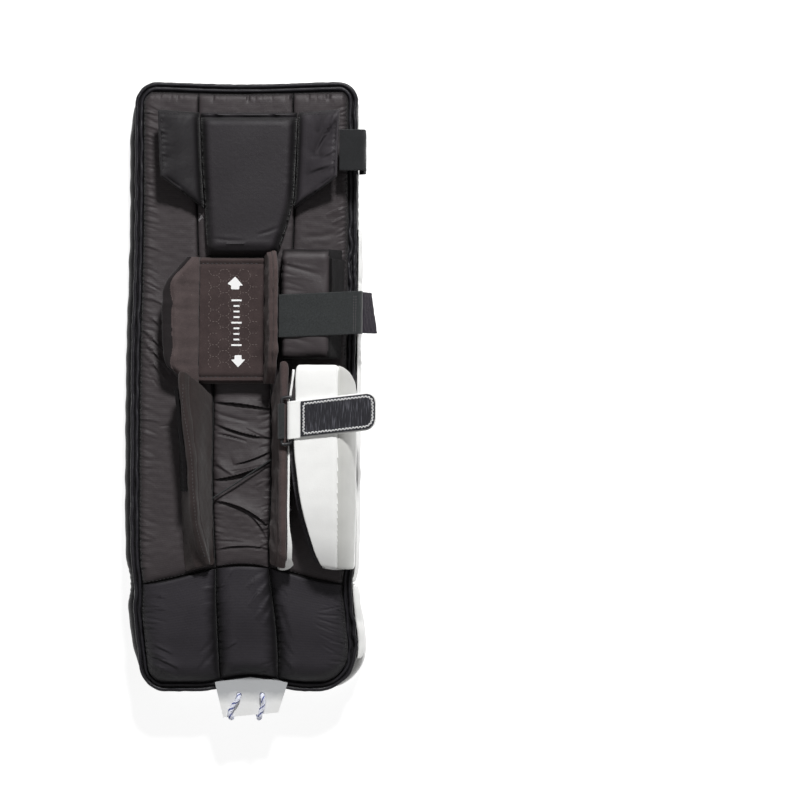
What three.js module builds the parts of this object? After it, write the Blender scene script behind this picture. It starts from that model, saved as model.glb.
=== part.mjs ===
// Ice hockey goalie leg pad for the left leg, lying on its face with the leg side up.
// +X points to the medial side, +Y to the thigh end and +Z up. Lengths are in millimetres.
import * as THREE from "three";

// Overall sizes of the padded body
const PAD_LENGTH = 708;
const PAD_WIDTH = 263;
const THIGH_LATERAL_CORNER = 27;
const THIGH_MEDIAL_CORNER = 22;
const TOE_LATERAL_CORNER = 30;
const TOE_MEDIAL_CORNER = 42;

// Profile seen from the side: flat thigh part, shin rising to the boot break, boot falling to the toe
const BREAK_RISE = 22;
const KNEE_BREAK = 165;
const BOOT_BREAK = -221;
const BREAK_SPREAD = 42;
const TOE_FLAT = 40;

// Layers, from the face up
const SEAT_GAP = 0.35;
const FACE_THICKNESS = 25;
const FACE_ROUNDING = 8;
const FACE_OVERHANG = 5;
const BREAK_GROOVE_DEPTH = 3;
const BREAK_GROOVE_WIDTH = 9;
const ROLL_RADIUS = 12;
const ROLL_PINCH = 0.12;
const ROLL_END = 5;
const CORE_THICKNESS = 30.5;
const CORE_BULGE = 0.8;
const CORE_EDGE = 8;
const SIDE_PANEL_THICKNESS = 5;
const SIDE_PANEL_LEAD = 18;
const BOOT_PANEL_THICKNESS = 9;
const BOOT_PANEL_SETBACK = 39;
const PIPING_RADIUS = 2.5;
const PIPING_SIDES = 5;
const LINER_THICKNESS = 12.5;
const BOOT_LINER_THICKNESS = 22;
const CROWN_WIDTH = 13;
const CROWN_STEP = 3;
const LINER_EDGE = 3;
const SEAM_WIDTH = 1.2;

// Outline wave of the ends and of the boot seam
const TOE_NOTCH = 9.5;
const TOE_NOTCH_WIDTH = 136;
const TOE_NOTCH_SIDE = 8;
const THIGH_DIP = 3;
const BOOT_ARCH_MEAN = 4;
const BOOT_ARCH_SWING = 11;
const BOOT_ARCH_REACH = 110;

// Thigh pad with its two wings, and the elastic strap that holds it
const THIGH_PAD_LENGTH = 167;
const THIGH_PAD_WIDTH = 115;
const THIGH_PAD_THICKNESS = 22;
const THIGH_PAD_SIDE = 6;
const THIGH_PAD_SETBACK = 37;
const THIGH_PAD_ROUNDING = 9;
const WING_REACH = 48;
const WING_THICKNESS = 10;
const WING_GAP = 0.7;
const WING_ROOT_THICKNESS = 19;
const WING_LIFT = 24;
const WING_LENGTH = 76;
const WING_ROOT_LENGTH = 112;
const THIGH_STRAP_WIDTH = 47;
const STRAP_THICKNESS = 2.2;
const THIGH_STRAP_SETBACK = 46;
const THIGH_STRAP_DROP = 52;
const THIGH_STRAP_STANDOFF = 8;
const STRAP_BEND = 5;

// Knee cradle, knee block and knee strap
const CRADLE_LENGTH = 146;
const CRADLE_WIDTH = 75;
const CRADLE_SIDE = -13;
const CRADLE_GAP = 0.9;
const CRADLE_THICKNESS = 10;
const CRADLE_STANDOFF = 5;
const CRADLE_LATERAL_REACH = 32;
const CRADLE_LATERAL_RISE = 27;
const CRADLE_MEDIAL_REACH = 8;
const CRADLE_MEDIAL_RISE = 44;
const CRADLE_MEDIAL_SLANT = 9;
const KNEE_BLOCK_LENGTH = 125;
const KNEE_BLOCK_WIDTH = 54;
const KNEE_BLOCK_HEIGHT = 38;
const KNEE_BLOCK_GAP = 3;
const KNEE_BLOCK_FOOT = 16;
const KNEE_BLOCK_LEAD = 8;
const KNEE_BLOCK_ROUNDING = 11;
const BLOCK_PATCH_LENGTH = 48;
const BLOCK_PATCH_THICKNESS = 1.6;
const KNEE_STRAP_WIDTH = 49;
const KNEE_STRAP_SETBACK = 69;
const KNEE_STRAP_SKEW = 2.6;
const KNEE_STRAP_OVERHANG = 6;
const KNEE_STRAP_DROP = 9;
const KNEE_TAB_LENGTH = 26;
const KNEE_TAB_THICKNESS = 3.4;
const KNEE_TAB_FLARE = 16.5;

// Calf wraps, their plate and the cord between them
const WRAP_LENGTH = 206;
const WRAP_GAP = 13;
const WRAP_SLANT = 27;
const LATERAL_WRAP_ROOT = 35;
const MEDIAL_WRAP_ROOT = 16;
const WRAP_TIP_THICKNESS = 9;
const LATERAL_WRAP_LEAN = 14;
const MEDIAL_WRAP_LEAN = 9;
const WRAP_PATCH_THICKNESS = 1.6;
const WRAP_PATCH_HEIGHT = 30;
const WRAP_PATCH_LENGTH = 96;
const WRAP_PLATE_THICKNESS = 2;
const WRAP_PLATE_HEIGHT = 36;
const WRAP_PLATE_CURL = 4;
const RIVET_RADIUS = 3.2;
const CALF_CORD_RADIUS = 1;
const CALF_CORD_CLEARANCE = 2.5;

// Calf guard and the white strap over it
const GUARD_LENGTH = 229;
const GUARD_LEAD = 36;
const GUARD_HEIGHT = 64;
const GUARD_REACH = 65;
const GUARD_THICKNESS = 12;
const GUARD_BEVEL = 15.5;
const GUARD_BEND = 7;
const GUARD_SLANT = 34;
const GUARD_LINING_THICKNESS = 2.5;
const GUARD_LINING_LENGTH = 184;
const GUARD_LINING_OVERHANG = 4;
const GUARD_LINING_INSET = 3;
const STRAP_TAB_WIDTH = 43;
const STRAP_TAB_LENGTH = 103;
const STRAP_TAB_THICKNESS = 2.6;
const STRAP_TAB_SETBACK = 29;
const STRAP_TAB_SKEW = 6.5;
const STRAP_TAB_CORNER = 13;
const STRAP_TAIL = 5;
const STRAP_LEAD = 16;
const HOOK_PAD_THICKNESS = 1.8;
const HOOK_PAD_MARGIN = 1.6;
const KEEPER_BAR_RADIUS = 2;
const KEEPER_GAP = 7;
const KEEPER_REACH = 5;

// Toe bridge and its lace
const TOE_BRIDGE_LENGTH = 36;
const TOE_BRIDGE_OVERLAP = 9;
const TOE_BRIDGE_ROOT_WIDTH = 90;
const TOE_BRIDGE_TIP_WIDTH = 64;
const TOE_BRIDGE_THICKNESS = 3;
const TOE_BRIDGE_SLOPE = 8;
const TOE_BRIDGE_SKEW = 3;
const LACE_RADIUS = 2.4;
const LACE_SPACING = 27;
const LACE_HOLE_CLEARANCE = 0.9;

// Sides of the back edge: rows run from the thigh end (1) to the toe end (-1) in shares of half the
// length, and hold shares of half the width
const OUTLINE_ROWS = [
  { along: 1, lateral: 0.962, medial: 1 },
  { along: 0.5, lateral: 0.966, medial: 1 },
  { along: 0.1, lateral: 0.99, medial: 0.988 },
  { along: -0.4, lateral: 0.992, medial: 0.981 },
  { along: -0.56, lateral: 0.981, medial: 0.973 },
  { along: -0.63, lateral: 0.958, medial: 0.951 },
  { along: -0.72, lateral: 0.97, medial: 0.966 },
  { along: -0.85, lateral: 0.943, medial: 0.996 },
  { along: -1, lateral: 0.905, medial: 0.96 },
];

// Long seams between the liner columns: shares of half the length and of half the width
const SEAM_ROWS = [
  { along: 1, lateral: 0.414, medial: 0.433 },
  { along: 0.45, lateral: 0.414, medial: 0.433 },
  { along: 0.05, lateral: 0.274, medial: 0.259 },
  { along: -0.3, lateral: 0.268, medial: 0.25 },
  { along: -0.58, lateral: 0.25, medial: 0.235 },
  { along: -0.8, lateral: 0.24, medial: 0.292 },
  { along: -1, lateral: 0.23, medial: 0.31 },
];

// Folds across the calf liner: place as a share of half the length, depth as a share of the liner's
// thickness, slant as the rise along the pad for each step across it
const CALF_FOLDS = [
  { along: -0.06, depth: 0.26, slant: 0.02 },
  { along: -0.13, depth: 0.18, slant: -0.06 },
  { along: -0.19, depth: 0.28, slant: -0.12 },
  { along: -0.26, depth: 0.2, slant: 0.16 },
  { along: -0.35, depth: 0.24, slant: -0.1 },
  { along: -0.49, depth: 0.16, slant: 0.08 },
];
const FOLD_WIDTH = 9;

// Thigh pad's plan: share of its length from the thigh end, shares of half its width
const THIGH_PAD_ROWS = [
  { along: 0, lateral: 1, medial: 0.99 },
  { along: 0.35, lateral: 0.96, medial: 0.95 },
  { along: 0.62, lateral: 0.91, medial: 0.9 },
  { along: 0.8, lateral: 0.885, medial: 0.77 },
  { along: 1, lateral: 0.84, medial: 0.57 },
];

// Knee cradle's wings: share of its length from the thigh end, shares of each wing's reach
const CRADLE_ROWS = [
  { along: 0, lateral: 0.18, medial: 0.62 },
  { along: 0.09, lateral: 0.5, medial: 0.9 },
  { along: 0.18, lateral: 0.84, medial: 1 },
  { along: 0.3, lateral: 1, medial: 1 },
  { along: 0.72, lateral: 0.95, medial: 1 },
  { along: 0.86, lateral: 0.82, medial: 0.86 },
  { along: 0.94, lateral: 0.5, medial: 0.66 },
  { along: 1, lateral: 0.16, medial: 0.4 },
];

// Calf wraps: share of their length from the thigh end; height and lean are shares of the full ones
const LATERAL_WRAP_ROWS = [
  { along: 0, height: 0.94, lean: 1 },
  { along: 0.06, height: 1, lean: 1 },
  { along: 0.2, height: 1, lean: 0.6 },
  { along: 0.36, height: 1, lean: 0.22 },
  { along: 0.56, height: 0.97, lean: 0.08 },
  { along: 0.74, height: 0.8, lean: -0.06 },
  { along: 0.88, height: 0.5, lean: -0.36 },
  { along: 1, height: 0.2, lean: -0.7 },
];
const MEDIAL_WRAP_ROWS = [
  { along: 0, height: 0.9, lean: 0.9 },
  { along: 0.06, height: 1, lean: 1 },
  { along: 0.35, height: 1, lean: 0.8 },
  { along: 0.6, height: 1, lean: 0.85 },
  { along: 0.8, height: 0.95, lean: 1.05 },
  { along: 0.93, height: 0.74, lean: 1 },
  { along: 1, height: 0.4, lean: 0.8 },
];

// Calf guard: share of its length from the thigh end, then shares of its reach and of its height
const GUARD_ROWS = [
  { along: 0, reach: 0.93, height: 0.97 },
  { along: 0.03, reach: 0.97, height: 1 },
  { along: 0.2, reach: 0.98, height: 1 },
  { along: 0.4, reach: 1, height: 1 },
  { along: 0.53, reach: 0.96, height: 1 },
  { along: 0.65, reach: 0.9, height: 0.98 },
  { along: 0.76, reach: 0.82, height: 0.93 },
  { along: 0.86, reach: 0.72, height: 0.84 },
  { along: 0.94, reach: 0.62, height: 0.72 },
  { along: 1, reach: 0.5, height: 0.6 },
];

// Values that follow from the sizes
const halfLength = PAD_LENGTH / 2;
const halfWidth = PAD_WIDTH / 2;
const coreBottom = FACE_THICKNESS + SEAT_GAP;
const coreTop = coreBottom + CORE_THICKNESS;
const linerBottom = coreTop + SEAT_GAP;
const linerTop = linerBottom + LINER_THICKNESS;
const deck = linerTop + SEAT_GAP;
const thighPadEnd = halfLength - THIGH_PAD_SETBACK;
const cradleEnd = thighPadEnd - THIGH_PAD_LENGTH - CRADLE_GAP;
const wrapEnd = cradleEnd - CRADLE_LENGTH - WRAP_GAP;
const thighStrapCentre = thighPadEnd - THIGH_STRAP_SETBACK;
const kneeStrapCentre = cradleEnd - KNEE_STRAP_SETBACK;
const strapTabCentre = wrapEnd - STRAP_TAB_SETBACK;
const guardEnd = wrapEnd + GUARD_LEAD;
const pipingTop = linerBottom + 2 * PIPING_RADIUS;
const outerPipingInset = PIPING_RADIUS;
const innerPipingInset = outerPipingInset + 2 * PIPING_RADIUS + SEAT_GAP;
const linerInset = innerPipingInset + PIPING_RADIUS + SEAT_GAP;
const coreSide = halfWidth + CORE_BULGE + SEAT_GAP;
const bootPanelEnd = -halfLength + BOOT_PANEL_SETBACK;
const bootPanelLength = BOOT_BREAK - 2 - bootPanelEnd;

const materials = {
  nylon: new THREE.MeshStandardMaterial({ color: 0x37343a, roughness: 0.62 }),
  gusset: new THREE.MeshStandardMaterial({ color: 0x2b2a2f, roughness: 0.6 }),
  suede: new THREE.MeshStandardMaterial({ color: 0x40332f, roughness: 0.95 }),
  leather: new THREE.MeshStandardMaterial({ color: 0xf1f1ee, roughness: 0.45 }),
  elastic: new THREE.MeshStandardMaterial({ color: 0x2c3132, roughness: 0.85 }),
  hook: new THREE.MeshStandardMaterial({ color: 0x27262b, roughness: 0.95 }),
  plastic: new THREE.MeshStandardMaterial({ color: 0x151617, roughness: 0.4 }),
  metal: new THREE.MeshStandardMaterial({ color: 0xb9bcc0, roughness: 0.3, metalness: 1 }),
  lace: new THREE.MeshStandardMaterial({ color: 0xe6e8f6, roughness: 0.9 }),
};

// Smooth reading of one column of a table whose rows run up or down in "along".
function readRows(rows, column, along) {
  const falling = rows[0].along > rows[rows.length - 1].along;
  const sorted = falling ? [...rows].reverse() : rows;
  const last = sorted.length - 1;
  if (along <= sorted[0].along) return sorted[0][column];
  if (along >= sorted[last].along) return sorted[last][column];
  const i = sorted.findIndex((row) => row.along > along) - 1;
  const slope = (k) => {
    const before = sorted[Math.max(k - 1, 0)];
    const after = sorted[Math.min(k + 1, last)];
    return (after[column] - before[column]) / (after.along - before.along);
  };
  const span = sorted[i + 1].along - sorted[i].along;
  const t = (along - sorted[i].along) / span;
  const [t2, t3] = [t * t, t * t * t];
  return (
    (2 * t3 - 3 * t2 + 1) * sorted[i][column] +
    (t3 - 2 * t2 + t) * span * slope(i) +
    (3 * t2 - 2 * t3) * sorted[i + 1][column] +
    (t3 - t2) * span * slope(i + 1)
  );
}

// A bump of height 1 at 0 that falls to 0 at half its width.
function bump(distance, width) {
  const share = Math.min(Math.abs(distance) / (width / 2), 1);
  return Math.cos((share * Math.PI) / 2) ** 2;
}

// Height of the face over the floor: straight stretches joined by smooth bends.
function lift(y) {
  const corners = [
    [-halfLength, 0],
    [-halfLength + TOE_FLAT, 0],
    [BOOT_BREAK, BREAK_RISE],
    [KNEE_BREAK, 0],
    [halfLength, 0],
  ];
  const straight = (at) => {
    if (at <= corners[0][0] || at >= corners[corners.length - 1][0]) return 0;
    const i = corners.findIndex((corner) => corner[0] > at) - 1;
    const [[y0, z0], [y1, z1]] = [corners[i], corners[i + 1]];
    return z0 + ((z1 - z0) * (at - y0)) / (y1 - y0);
  };
  const samples = 12;
  let sum = 0;
  for (let k = 0; k < samples; k++) {
    sum += straight(y + BREAK_SPREAD * ((2 * k + 1) / samples - 1));
  }
  return sum / samples;
}

// Takes a point of the straight flat layout to the pad's real outline and profile.
function shapePad({ x, y, z }) {
  const side = readRows(OUTLINE_ROWS, x < 0 ? "lateral" : "medial", y / halfLength);
  const toeWeight = bump(y + halfLength, BOOT_ARCH_REACH);
  const thighWeight = bump(y - halfLength, BOOT_ARCH_REACH);
  const bootWeight = bump(y - BOOT_BREAK, 2 * BOOT_ARCH_REACH);
  const arch = BOOT_ARCH_MEAN + BOOT_ARCH_SWING * Math.cos((Math.PI * x) / halfWidth);
  const shift =
    toeWeight * TOE_NOTCH * bump(x - TOE_NOTCH_SIDE, TOE_NOTCH_WIDTH) -
    thighWeight * THIGH_DIP * bump(x, PAD_WIDTH) +
    bootWeight * arch;
  return new THREE.Vector3(x * side, y + shift, z + lift(y + shift));
}

// Lines across the pad that every long piece shares: close together along the boot, where it bends.
const rowLines = [];
const COARSE_ROW = 36;
const FINE_ROW = 15;
for (let y = -halfLength; y < halfLength; ) {
  rowLines.push(y);
  y += y < BOOT_BREAK + BREAK_SPREAD + BOOT_ARCH_SWING ? FINE_ROW : COARSE_ROW;
}

// The shared lines between two places, with extra rows close to both ends.
function rowsBetween(from, to, endRows = []) {
  const wanted = [from, to, ...endRows.flatMap((step) => [from + step, to - step])];
  const free = rowLines.filter((y) => wanted.every((w) => Math.abs(w - y) > 4) && y > from && y < to);
  return [...wanted, ...free].sort((a, b) => a - b);
}

// Joins rings of points into one closed solid: capped at both ends, or bent round into a loop.
function loft(rings, looped = false) {
  const count = rings[0].length;
  const points = rings.flat();
  const triangles = [];
  const steps = looped ? rings.length : rings.length - 1;
  for (let i = 0; i < steps; i++) {
    const here = i * count;
    const next = ((i + 1) % rings.length) * count;
    for (let j = 0; j < count; j++) {
      const k = (j + 1) % count;
      triangles.push([here + j, here + k, next + k], [here + j, next + k, next + j]);
    }
  }
  if (!looped) {
    const lastStart = (rings.length - 1) * count;
    capOf(rings[0]).forEach(([a, b, c]) => triangles.push([c, b, a]));
    capOf(rings[rings.length - 1]).forEach((cap) => triangles.push(cap.map((i) => i + lastStart)));
  }
  return facingOut(points, triangles);
}

// Triangles that fill a ring, laced across it from its first and last points by the shorter step.
function capOf(ring) {
  const triangles = [];
  let [low, high] = [0, ring.length - 1];
  while (high - low > 1) {
    const ahead = ring[low + 1].distanceTo(ring[high]);
    const behind = ring[low].distanceTo(ring[high - 1]);
    if (ahead < behind) {
      triangles.push([low, low + 1, high]);
      low += 1;
    } else {
      triangles.push([low, high - 1, high]);
      high -= 1;
    }
  }
  return triangles;
}

// A geometry from points and triangles, turned so that its faces point out.
function facingOut(points, triangles) {
  const volume = triangles.reduce(
    (sum, [a, b, c]) => sum + points[a].dot(points[b].clone().cross(points[c])),
    0,
  );
  const index = triangles.flatMap(([a, b, c]) => (volume > 0 ? [a, b, c] : [a, c, b]));
  const geometry = new THREE.BufferGeometry().setFromPoints(points);
  geometry.setIndex(index);
  geometry.computeVertexNormals();
  return geometry;
}

// Rings of a round bar along a closed path that lies level.
function tubeRings(path, radius, sides) {
  return path.map((point, i) => {
    const before = path[(i + path.length - 1) % path.length];
    const after = path[(i + 1) % path.length];
    const out = new THREE.Vector3(after.y - before.y, before.x - after.x, 0).normalize();
    return Array.from({ length: sides }, (_, k) => {
      const angle = (2 * Math.PI * (k + 0.5)) / sides;
      const up = new THREE.Vector3(0, 0, radius * Math.sin(angle));
      return point.clone().addScaledVector(out, radius * Math.cos(angle)).add(up);
    });
  });
}

// Moves every vertex of a geometry from the flat layout to the real shape.
function reshaped(geometry) {
  const position = geometry.getAttribute("position");
  const point = new THREE.Vector3();
  for (let i = 0; i < position.count; i++) {
    point.fromBufferAttribute(position, i);
    const placed = shapePad(point);
    position.setXYZ(i, placed.x, placed.y, placed.z);
  }
  geometry.computeVertexNormals();
  return geometry;
}

// Half the body's width at a place along it, less an inset, with the two rounded corners of a side.
function sideAt(y, inset, thighCorner, toeCorner) {
  const corner = y > 0 ? thighCorner : toeCorner;
  const radius = Math.max(corner - inset, 1);
  const intoCorner = Math.abs(y) - (halfLength - inset - radius);
  const full = halfWidth - inset;
  if (intoCorner <= 0) return full;
  return full - radius + Math.sqrt(Math.max(radius * radius - intoCorner * intoCorner, 0));
}
const lateralSide = (y, inset) => -sideAt(y, inset, THIGH_LATERAL_CORNER, TOE_LATERAL_CORNER);
const medialSide = (y, inset) => sideAt(y, inset, THIGH_MEDIAL_CORNER, TOE_MEDIAL_CORNER);

// Places across the pad where its end outlines bend, and a finer set for the piping.
const endColumns = [-0.5, -0.25, 0, 0.25, 0.5].map((k) => TOE_NOTCH_SIDE + k * TOE_NOTCH_WIDTH);
const fineEndColumns = Array.from(
  { length: 11 },
  (_, k) => TOE_NOTCH_SIDE + (k / 8 - 0.625) * TOE_NOTCH_WIDTH,
);

const ringAt = (y, section) => section.map(([x, z]) => new THREE.Vector3(x, y, z));

// The unit normal of a path in the XZ plane, on its left going along.
function normalAt(path, i) {
  const before = path[Math.max(i - 1, 0)];
  const after = path[Math.min(i + 1, path.length - 1)];
  const [dx, dz] = [after[0] - before[0], after[1] - before[1]];
  const length = Math.hypot(dx, dz);
  return [-dz / length, dx / length];
}

// A path in the XZ plane moved sideways, to its left where the distance is positive.
const offsetPath = (path, distance) =>
  path.map(([x, z], i) => {
    const [nx, nz] = normalAt(path, i);
    return [x + nx * distance, z + nz * distance];
  });

// The outline of a strip of even thickness along a path in the XZ plane.
const stripSection = (path, thickness) => [
  ...offsetPath(path, thickness / 2),
  ...offsetPath(path, -thickness / 2).reverse(),
];

// A flat band along a path in the XZ plane. It drifts along Y by its skew in degrees, measured from
// skewFrom, and its far end may be rounded in plan.
function ribbon({ path, thickness, width, middle, skew = 0, skewFrom = path[0][0], corner = 0 }) {
  const runs = path.map((p, i) => (i ? Math.hypot(p[0] - path[i - 1][0], p[1] - path[i - 1][1]) : 0));
  const total = runs.reduce((sum, run) => sum + run, 0);
  let travelled = 0;
  const [upper, lower] = [offsetPath(path, thickness / 2), offsetPath(path, -thickness / 2)];
  const rings = path.map(([x], i) => {
    travelled += runs[i];
    const intoCorner = Math.max(corner - (total - travelled), 0);
    const half = width / 2 - corner + Math.sqrt(corner * corner - intoCorner * intoCorner);
    const y = middle + Math.tan(THREE.MathUtils.degToRad(skew)) * (x - skewFrom);
    return [
      new THREE.Vector3(upper[i][0], y - half, upper[i][1]),
      new THREE.Vector3(upper[i][0], y + half, upper[i][1]),
      new THREE.Vector3(lower[i][0], y + half, lower[i][1]),
      new THREE.Vector3(lower[i][0], y - half, lower[i][1]),
    ];
  });
  return loft(rings);
}

// A straight stretch to a rounded end, with stations where the rounding needs them.
function roundedEndPath([x0, z0], [x1, z1], corner) {
  const length = Math.hypot(x1 - x0, z1 - z0);
  const stations = [0, 0.5, ...[1, 0.55, 0.25, 0.07, 0].map((k) => 1 - (k * corner) / length)];
  return stations.map((t) => [THREE.MathUtils.lerp(x0, x1, t), THREE.MathUtils.lerp(z0, z1, t)]);
}

// Half a turn round a bar, from below it, past its low-X side, to above it.
const foldRound = ([x, z], radius) =>
  [0, 0.25, 0.5, 0.75, 1].map((share) => {
    const angle = -Math.PI / 2 - Math.PI * share;
    return [x + radius * Math.cos(angle), z + radius * Math.sin(angle)];
  });

// A path in the XZ plane with its inner corners rounded.
function roundedPath(corners, radius, steps = 4) {
  const path = [corners[0]];
  for (let i = 1; i < corners.length - 1; i++) {
    const [before, at, after] = [corners[i - 1], corners[i], corners[i + 1]].map(
      ([x, z]) => new THREE.Vector2(x, z),
    );
    const legIn = before.clone().sub(at);
    const legOut = after.clone().sub(at);
    const cut = Math.min(radius, legIn.length() * 0.45, legOut.length() * 0.45);
    const start = at.clone().add(legIn.setLength(cut));
    const end = at.clone().add(legOut.setLength(cut));
    const curve = new THREE.QuadraticBezierCurve(start, at, end);
    curve.getPoints(steps).forEach((p) => path.push([p.x, p.y]));
  }
  path.push(corners[corners.length - 1]);
  return path;
}

// A flap that stands on its root: thick at the root, thinner at its rounded free edge.
function flapSection(root, tip, rootThickness, tipThickness) {
  const along = new THREE.Vector2(tip[0] - root[0], tip[1] - root[1]).normalize();
  const across = new THREE.Vector2(-along.y, along.x);
  const at = (share, side) => {
    const half = (side * THREE.MathUtils.lerp(rootThickness, tipThickness, share)) / 2;
    const x = THREE.MathUtils.lerp(root[0], tip[0], share) + across.x * half;
    const z = THREE.MathUtils.lerp(root[1], tip[1], share) + across.y * half;
    return [x, z];
  };
  const radius = tipThickness / 2;
  const crown = [0.25, 0.5, 0.75].map((turn) => {
    const angle = Math.PI * turn;
    const [side, out] = [Math.cos(angle) * radius, Math.sin(angle) * radius];
    return [
      tip[0] + across.x * side + along.x * out,
      tip[1] + across.y * side + along.y * out,
    ];
  });
  return [
    [root[0] + rootThickness / 2, root[1]],
    [root[0] - rootThickness / 2, root[1]],
    at(0.5, 1),
    at(1, 1),
    ...crown,
    at(1, -1),
    at(0.5, -1),
  ];
}

function named(name, geometry, material) {
  const mesh = new THREE.Mesh(geometry, material);
  mesh.name = name;
  return mesh;
}

// Body: face, roll, core and side panels

function faceOverhang(y) {
  const thigh = THREE.MathUtils.smoothstep(y, KNEE_BREAK - TOE_FLAT, KNEE_BREAK + TOE_FLAT);
  const boot = THREE.MathUtils.smoothstep(BOOT_BREAK - y, 0, bootPanelLength / 2);
  const atBreak = bump(y - BOOT_BREAK, BREAK_SPREAD);
  return FACE_OVERHANG * (1 - 0.85 * thigh + boot - atBreak);
}

function frontShell() {
  const grooves = [KNEE_BREAK, BOOT_BREAK].flatMap((at) =>
    [-1, 0, 1].map((k) => at + (k * BREAK_GROOVE_WIDTH) / 2),
  );
  const rows = [
    ...rowsBetween(-halfLength, halfLength, [3, 10]).filter((y) =>
      grooves.every((groove) => Math.abs(groove - y) > 3),
    ),
    ...grooves,
  ].sort((a, b) => a - b);
  const rings = rows.map((y) => {
    const grooved = [KNEE_BREAK, BOOT_BREAK].reduce(
      (sum, at) => sum + bump(y - at, BREAK_GROOVE_WIDTH),
      0,
    );
    const floor = BREAK_GROOVE_DEPTH * grooved;
    const left = lateralSide(y, 1) + rollRadius(y) + 2 * SEAT_GAP;
    const right = medialSide(y, 0) + faceOverhang(y);
    return ringAt(y, [
      [left, floor],
      ...endColumns.map((x) => [x, floor]),
      [right - FACE_ROUNDING, floor],
      [right - FACE_ROUNDING / 4, floor + FACE_ROUNDING / 4],
      [right, floor + FACE_ROUNDING],
      [right, FACE_THICKNESS - FACE_ROUNDING / 2],
      [right - FACE_ROUNDING / 4, FACE_THICKNESS],
      ...endColumns.map((x) => [x, FACE_THICKNESS]).reverse(),
      [left, FACE_THICKNESS],
    ]);
  });
  return named("front_shell", reshaped(loft(rings)), materials.leather);
}

// The roll's radius shrinks at the boot break and towards both ends.
function rollRadius(y) {
  const pinch = 1 - ROLL_PINCH * bump(y - BOOT_BREAK, 2 * BREAK_SPREAD);
  const fromEnd = Math.max(halfLength - ROLL_END - Math.abs(y), 0);
  return ROLL_RADIUS * pinch * Math.min(1, 0.6 + (0.4 * fromEnd) / (2 * ROLL_RADIUS));
}

function lateralRoll() {
  const [from, to] = [-halfLength + ROLL_END, halfLength - ROLL_END];
  const sides = 8;
  const rings = rowsBetween(from, to, [8, 24]).map((y) => {
    const radius = rollRadius(y);
    const section = Array.from({ length: sides }, (_, k) => {
      const angle = (2 * Math.PI * k) / sides;
      return [
        lateralSide(y, 1) + radius * Math.cos(angle),
        ROLL_RADIUS + SEAT_GAP + radius * Math.sin(angle),
      ];
    });
    return ringAt(y, section);
  });
  return named("lateral_roll", reshaped(loft(rings)), materials.gusset);
}

function core() {
  const rings = rowsBetween(-halfLength, halfLength, [3, 10]).map((y) => {
    const [left, right] = [lateralSide(y, 0), medialSide(y, 0)];
    return ringAt(y, [
      [left - CORE_BULGE, coreBottom + CORE_EDGE],
      [left + 1, coreBottom],
      ...endColumns.map((x) => [x, coreBottom]),
      [right - 1, coreBottom],
      [right + CORE_BULGE, coreBottom + CORE_EDGE],
      [right + CORE_BULGE, coreTop - CORE_EDGE],
      [right - 0.5, coreTop],
      ...endColumns.map((x) => [x, coreTop]).reverse(),
      [left + 0.5, coreTop],
      [left - CORE_BULGE, coreTop - CORE_EDGE],
    ]);
  });
  return named("core", reshaped(loft(rings)), materials.gusset);
}

// A padded leather wall on the medial side of the core, bulging by its thickness.
function sidePanel(name, from, to, thickness) {
  const rings = rowsBetween(from, to, [2, 8]).map((y) => {
    const fromEnd = Math.min(y - from, to - y);
    const bulge = thickness * (0.45 + 0.55 * Math.sqrt(Math.min(fromEnd / 12, 1)));
    return ringAt(y, [
      [coreSide, coreBottom],
      [coreSide + bulge * 0.8, coreBottom + 2],
      [coreSide + bulge, coreBottom + CORE_THICKNESS * 0.35],
      [coreSide + bulge * 0.9, coreTop - CORE_THICKNESS * 0.25],
      [coreSide + bulge * 0.3, coreTop],
      [coreSide, coreTop],
    ]);
  });
  return named(name, reshaped(loft(rings)), materials.leather);
}

// Rim and liner

// The body's outline, less an inset, as a closed list of points.
function rimPath(inset, z) {
  const corners = [
    { sx: 1, sy: 1, corner: THIGH_MEDIAL_CORNER },
    { sx: 1, sy: -1, corner: TOE_MEDIAL_CORNER },
    { sx: -1, sy: -1, corner: TOE_LATERAL_CORNER },
    { sx: -1, sy: 1, corner: THIGH_LATERAL_CORNER },
  ];
  const points = [];
  corners.forEach(({ sx, sy, corner }, i) => {
    const radius = corner - inset;
    const centre = [sx * (halfWidth - corner), sy * (halfLength - corner)];
    const start = Math.PI / 2 - (i * Math.PI) / 2;
    for (let k = 0; k <= 4; k++) {
      const angle = start - (k / 4) * (Math.PI / 2);
      points.push([centre[0] + radius * Math.cos(angle), centre[1] + radius * Math.sin(angle)]);
    }
    const next = corners[(i + 1) % 4];
    const [x, y] = points[points.length - 1];
    if (next.sx === sx) {
      const end = next.sy * (halfLength - next.corner);
      const lines = rowLines.filter((line) => (line - y) * (line - end) < 0 && Math.abs(line - y) > 5);
      const inside = lines.filter((line) => Math.abs(line - end) > 5);
      inside.sort((a, b) => (a - b) * Math.sign(end - y)).forEach((line) => points.push([x, line]));
    } else {
      const inward = [...fineEndColumns].sort((a, b) => (a - b) * Math.sign(next.sx - sx));
      inward.forEach((column) => points.push([column, y]));
    }
  });
  return points.map(([x, y]) => new THREE.Vector3(x, y, z));
}

function piping(name, inset) {
  const rings = tubeRings(rimPath(inset, linerBottom + PIPING_RADIUS), PIPING_RADIUS, PIPING_SIDES);
  return named(name, reshaped(loft(rings, true)), materials.gusset);
}

const quarterRound = (distance) => {
  const share = THREE.MathUtils.clamp(distance / CROWN_WIDTH, 0, 1);
  return Math.sqrt(1 - (1 - share) ** 2);
};

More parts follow.
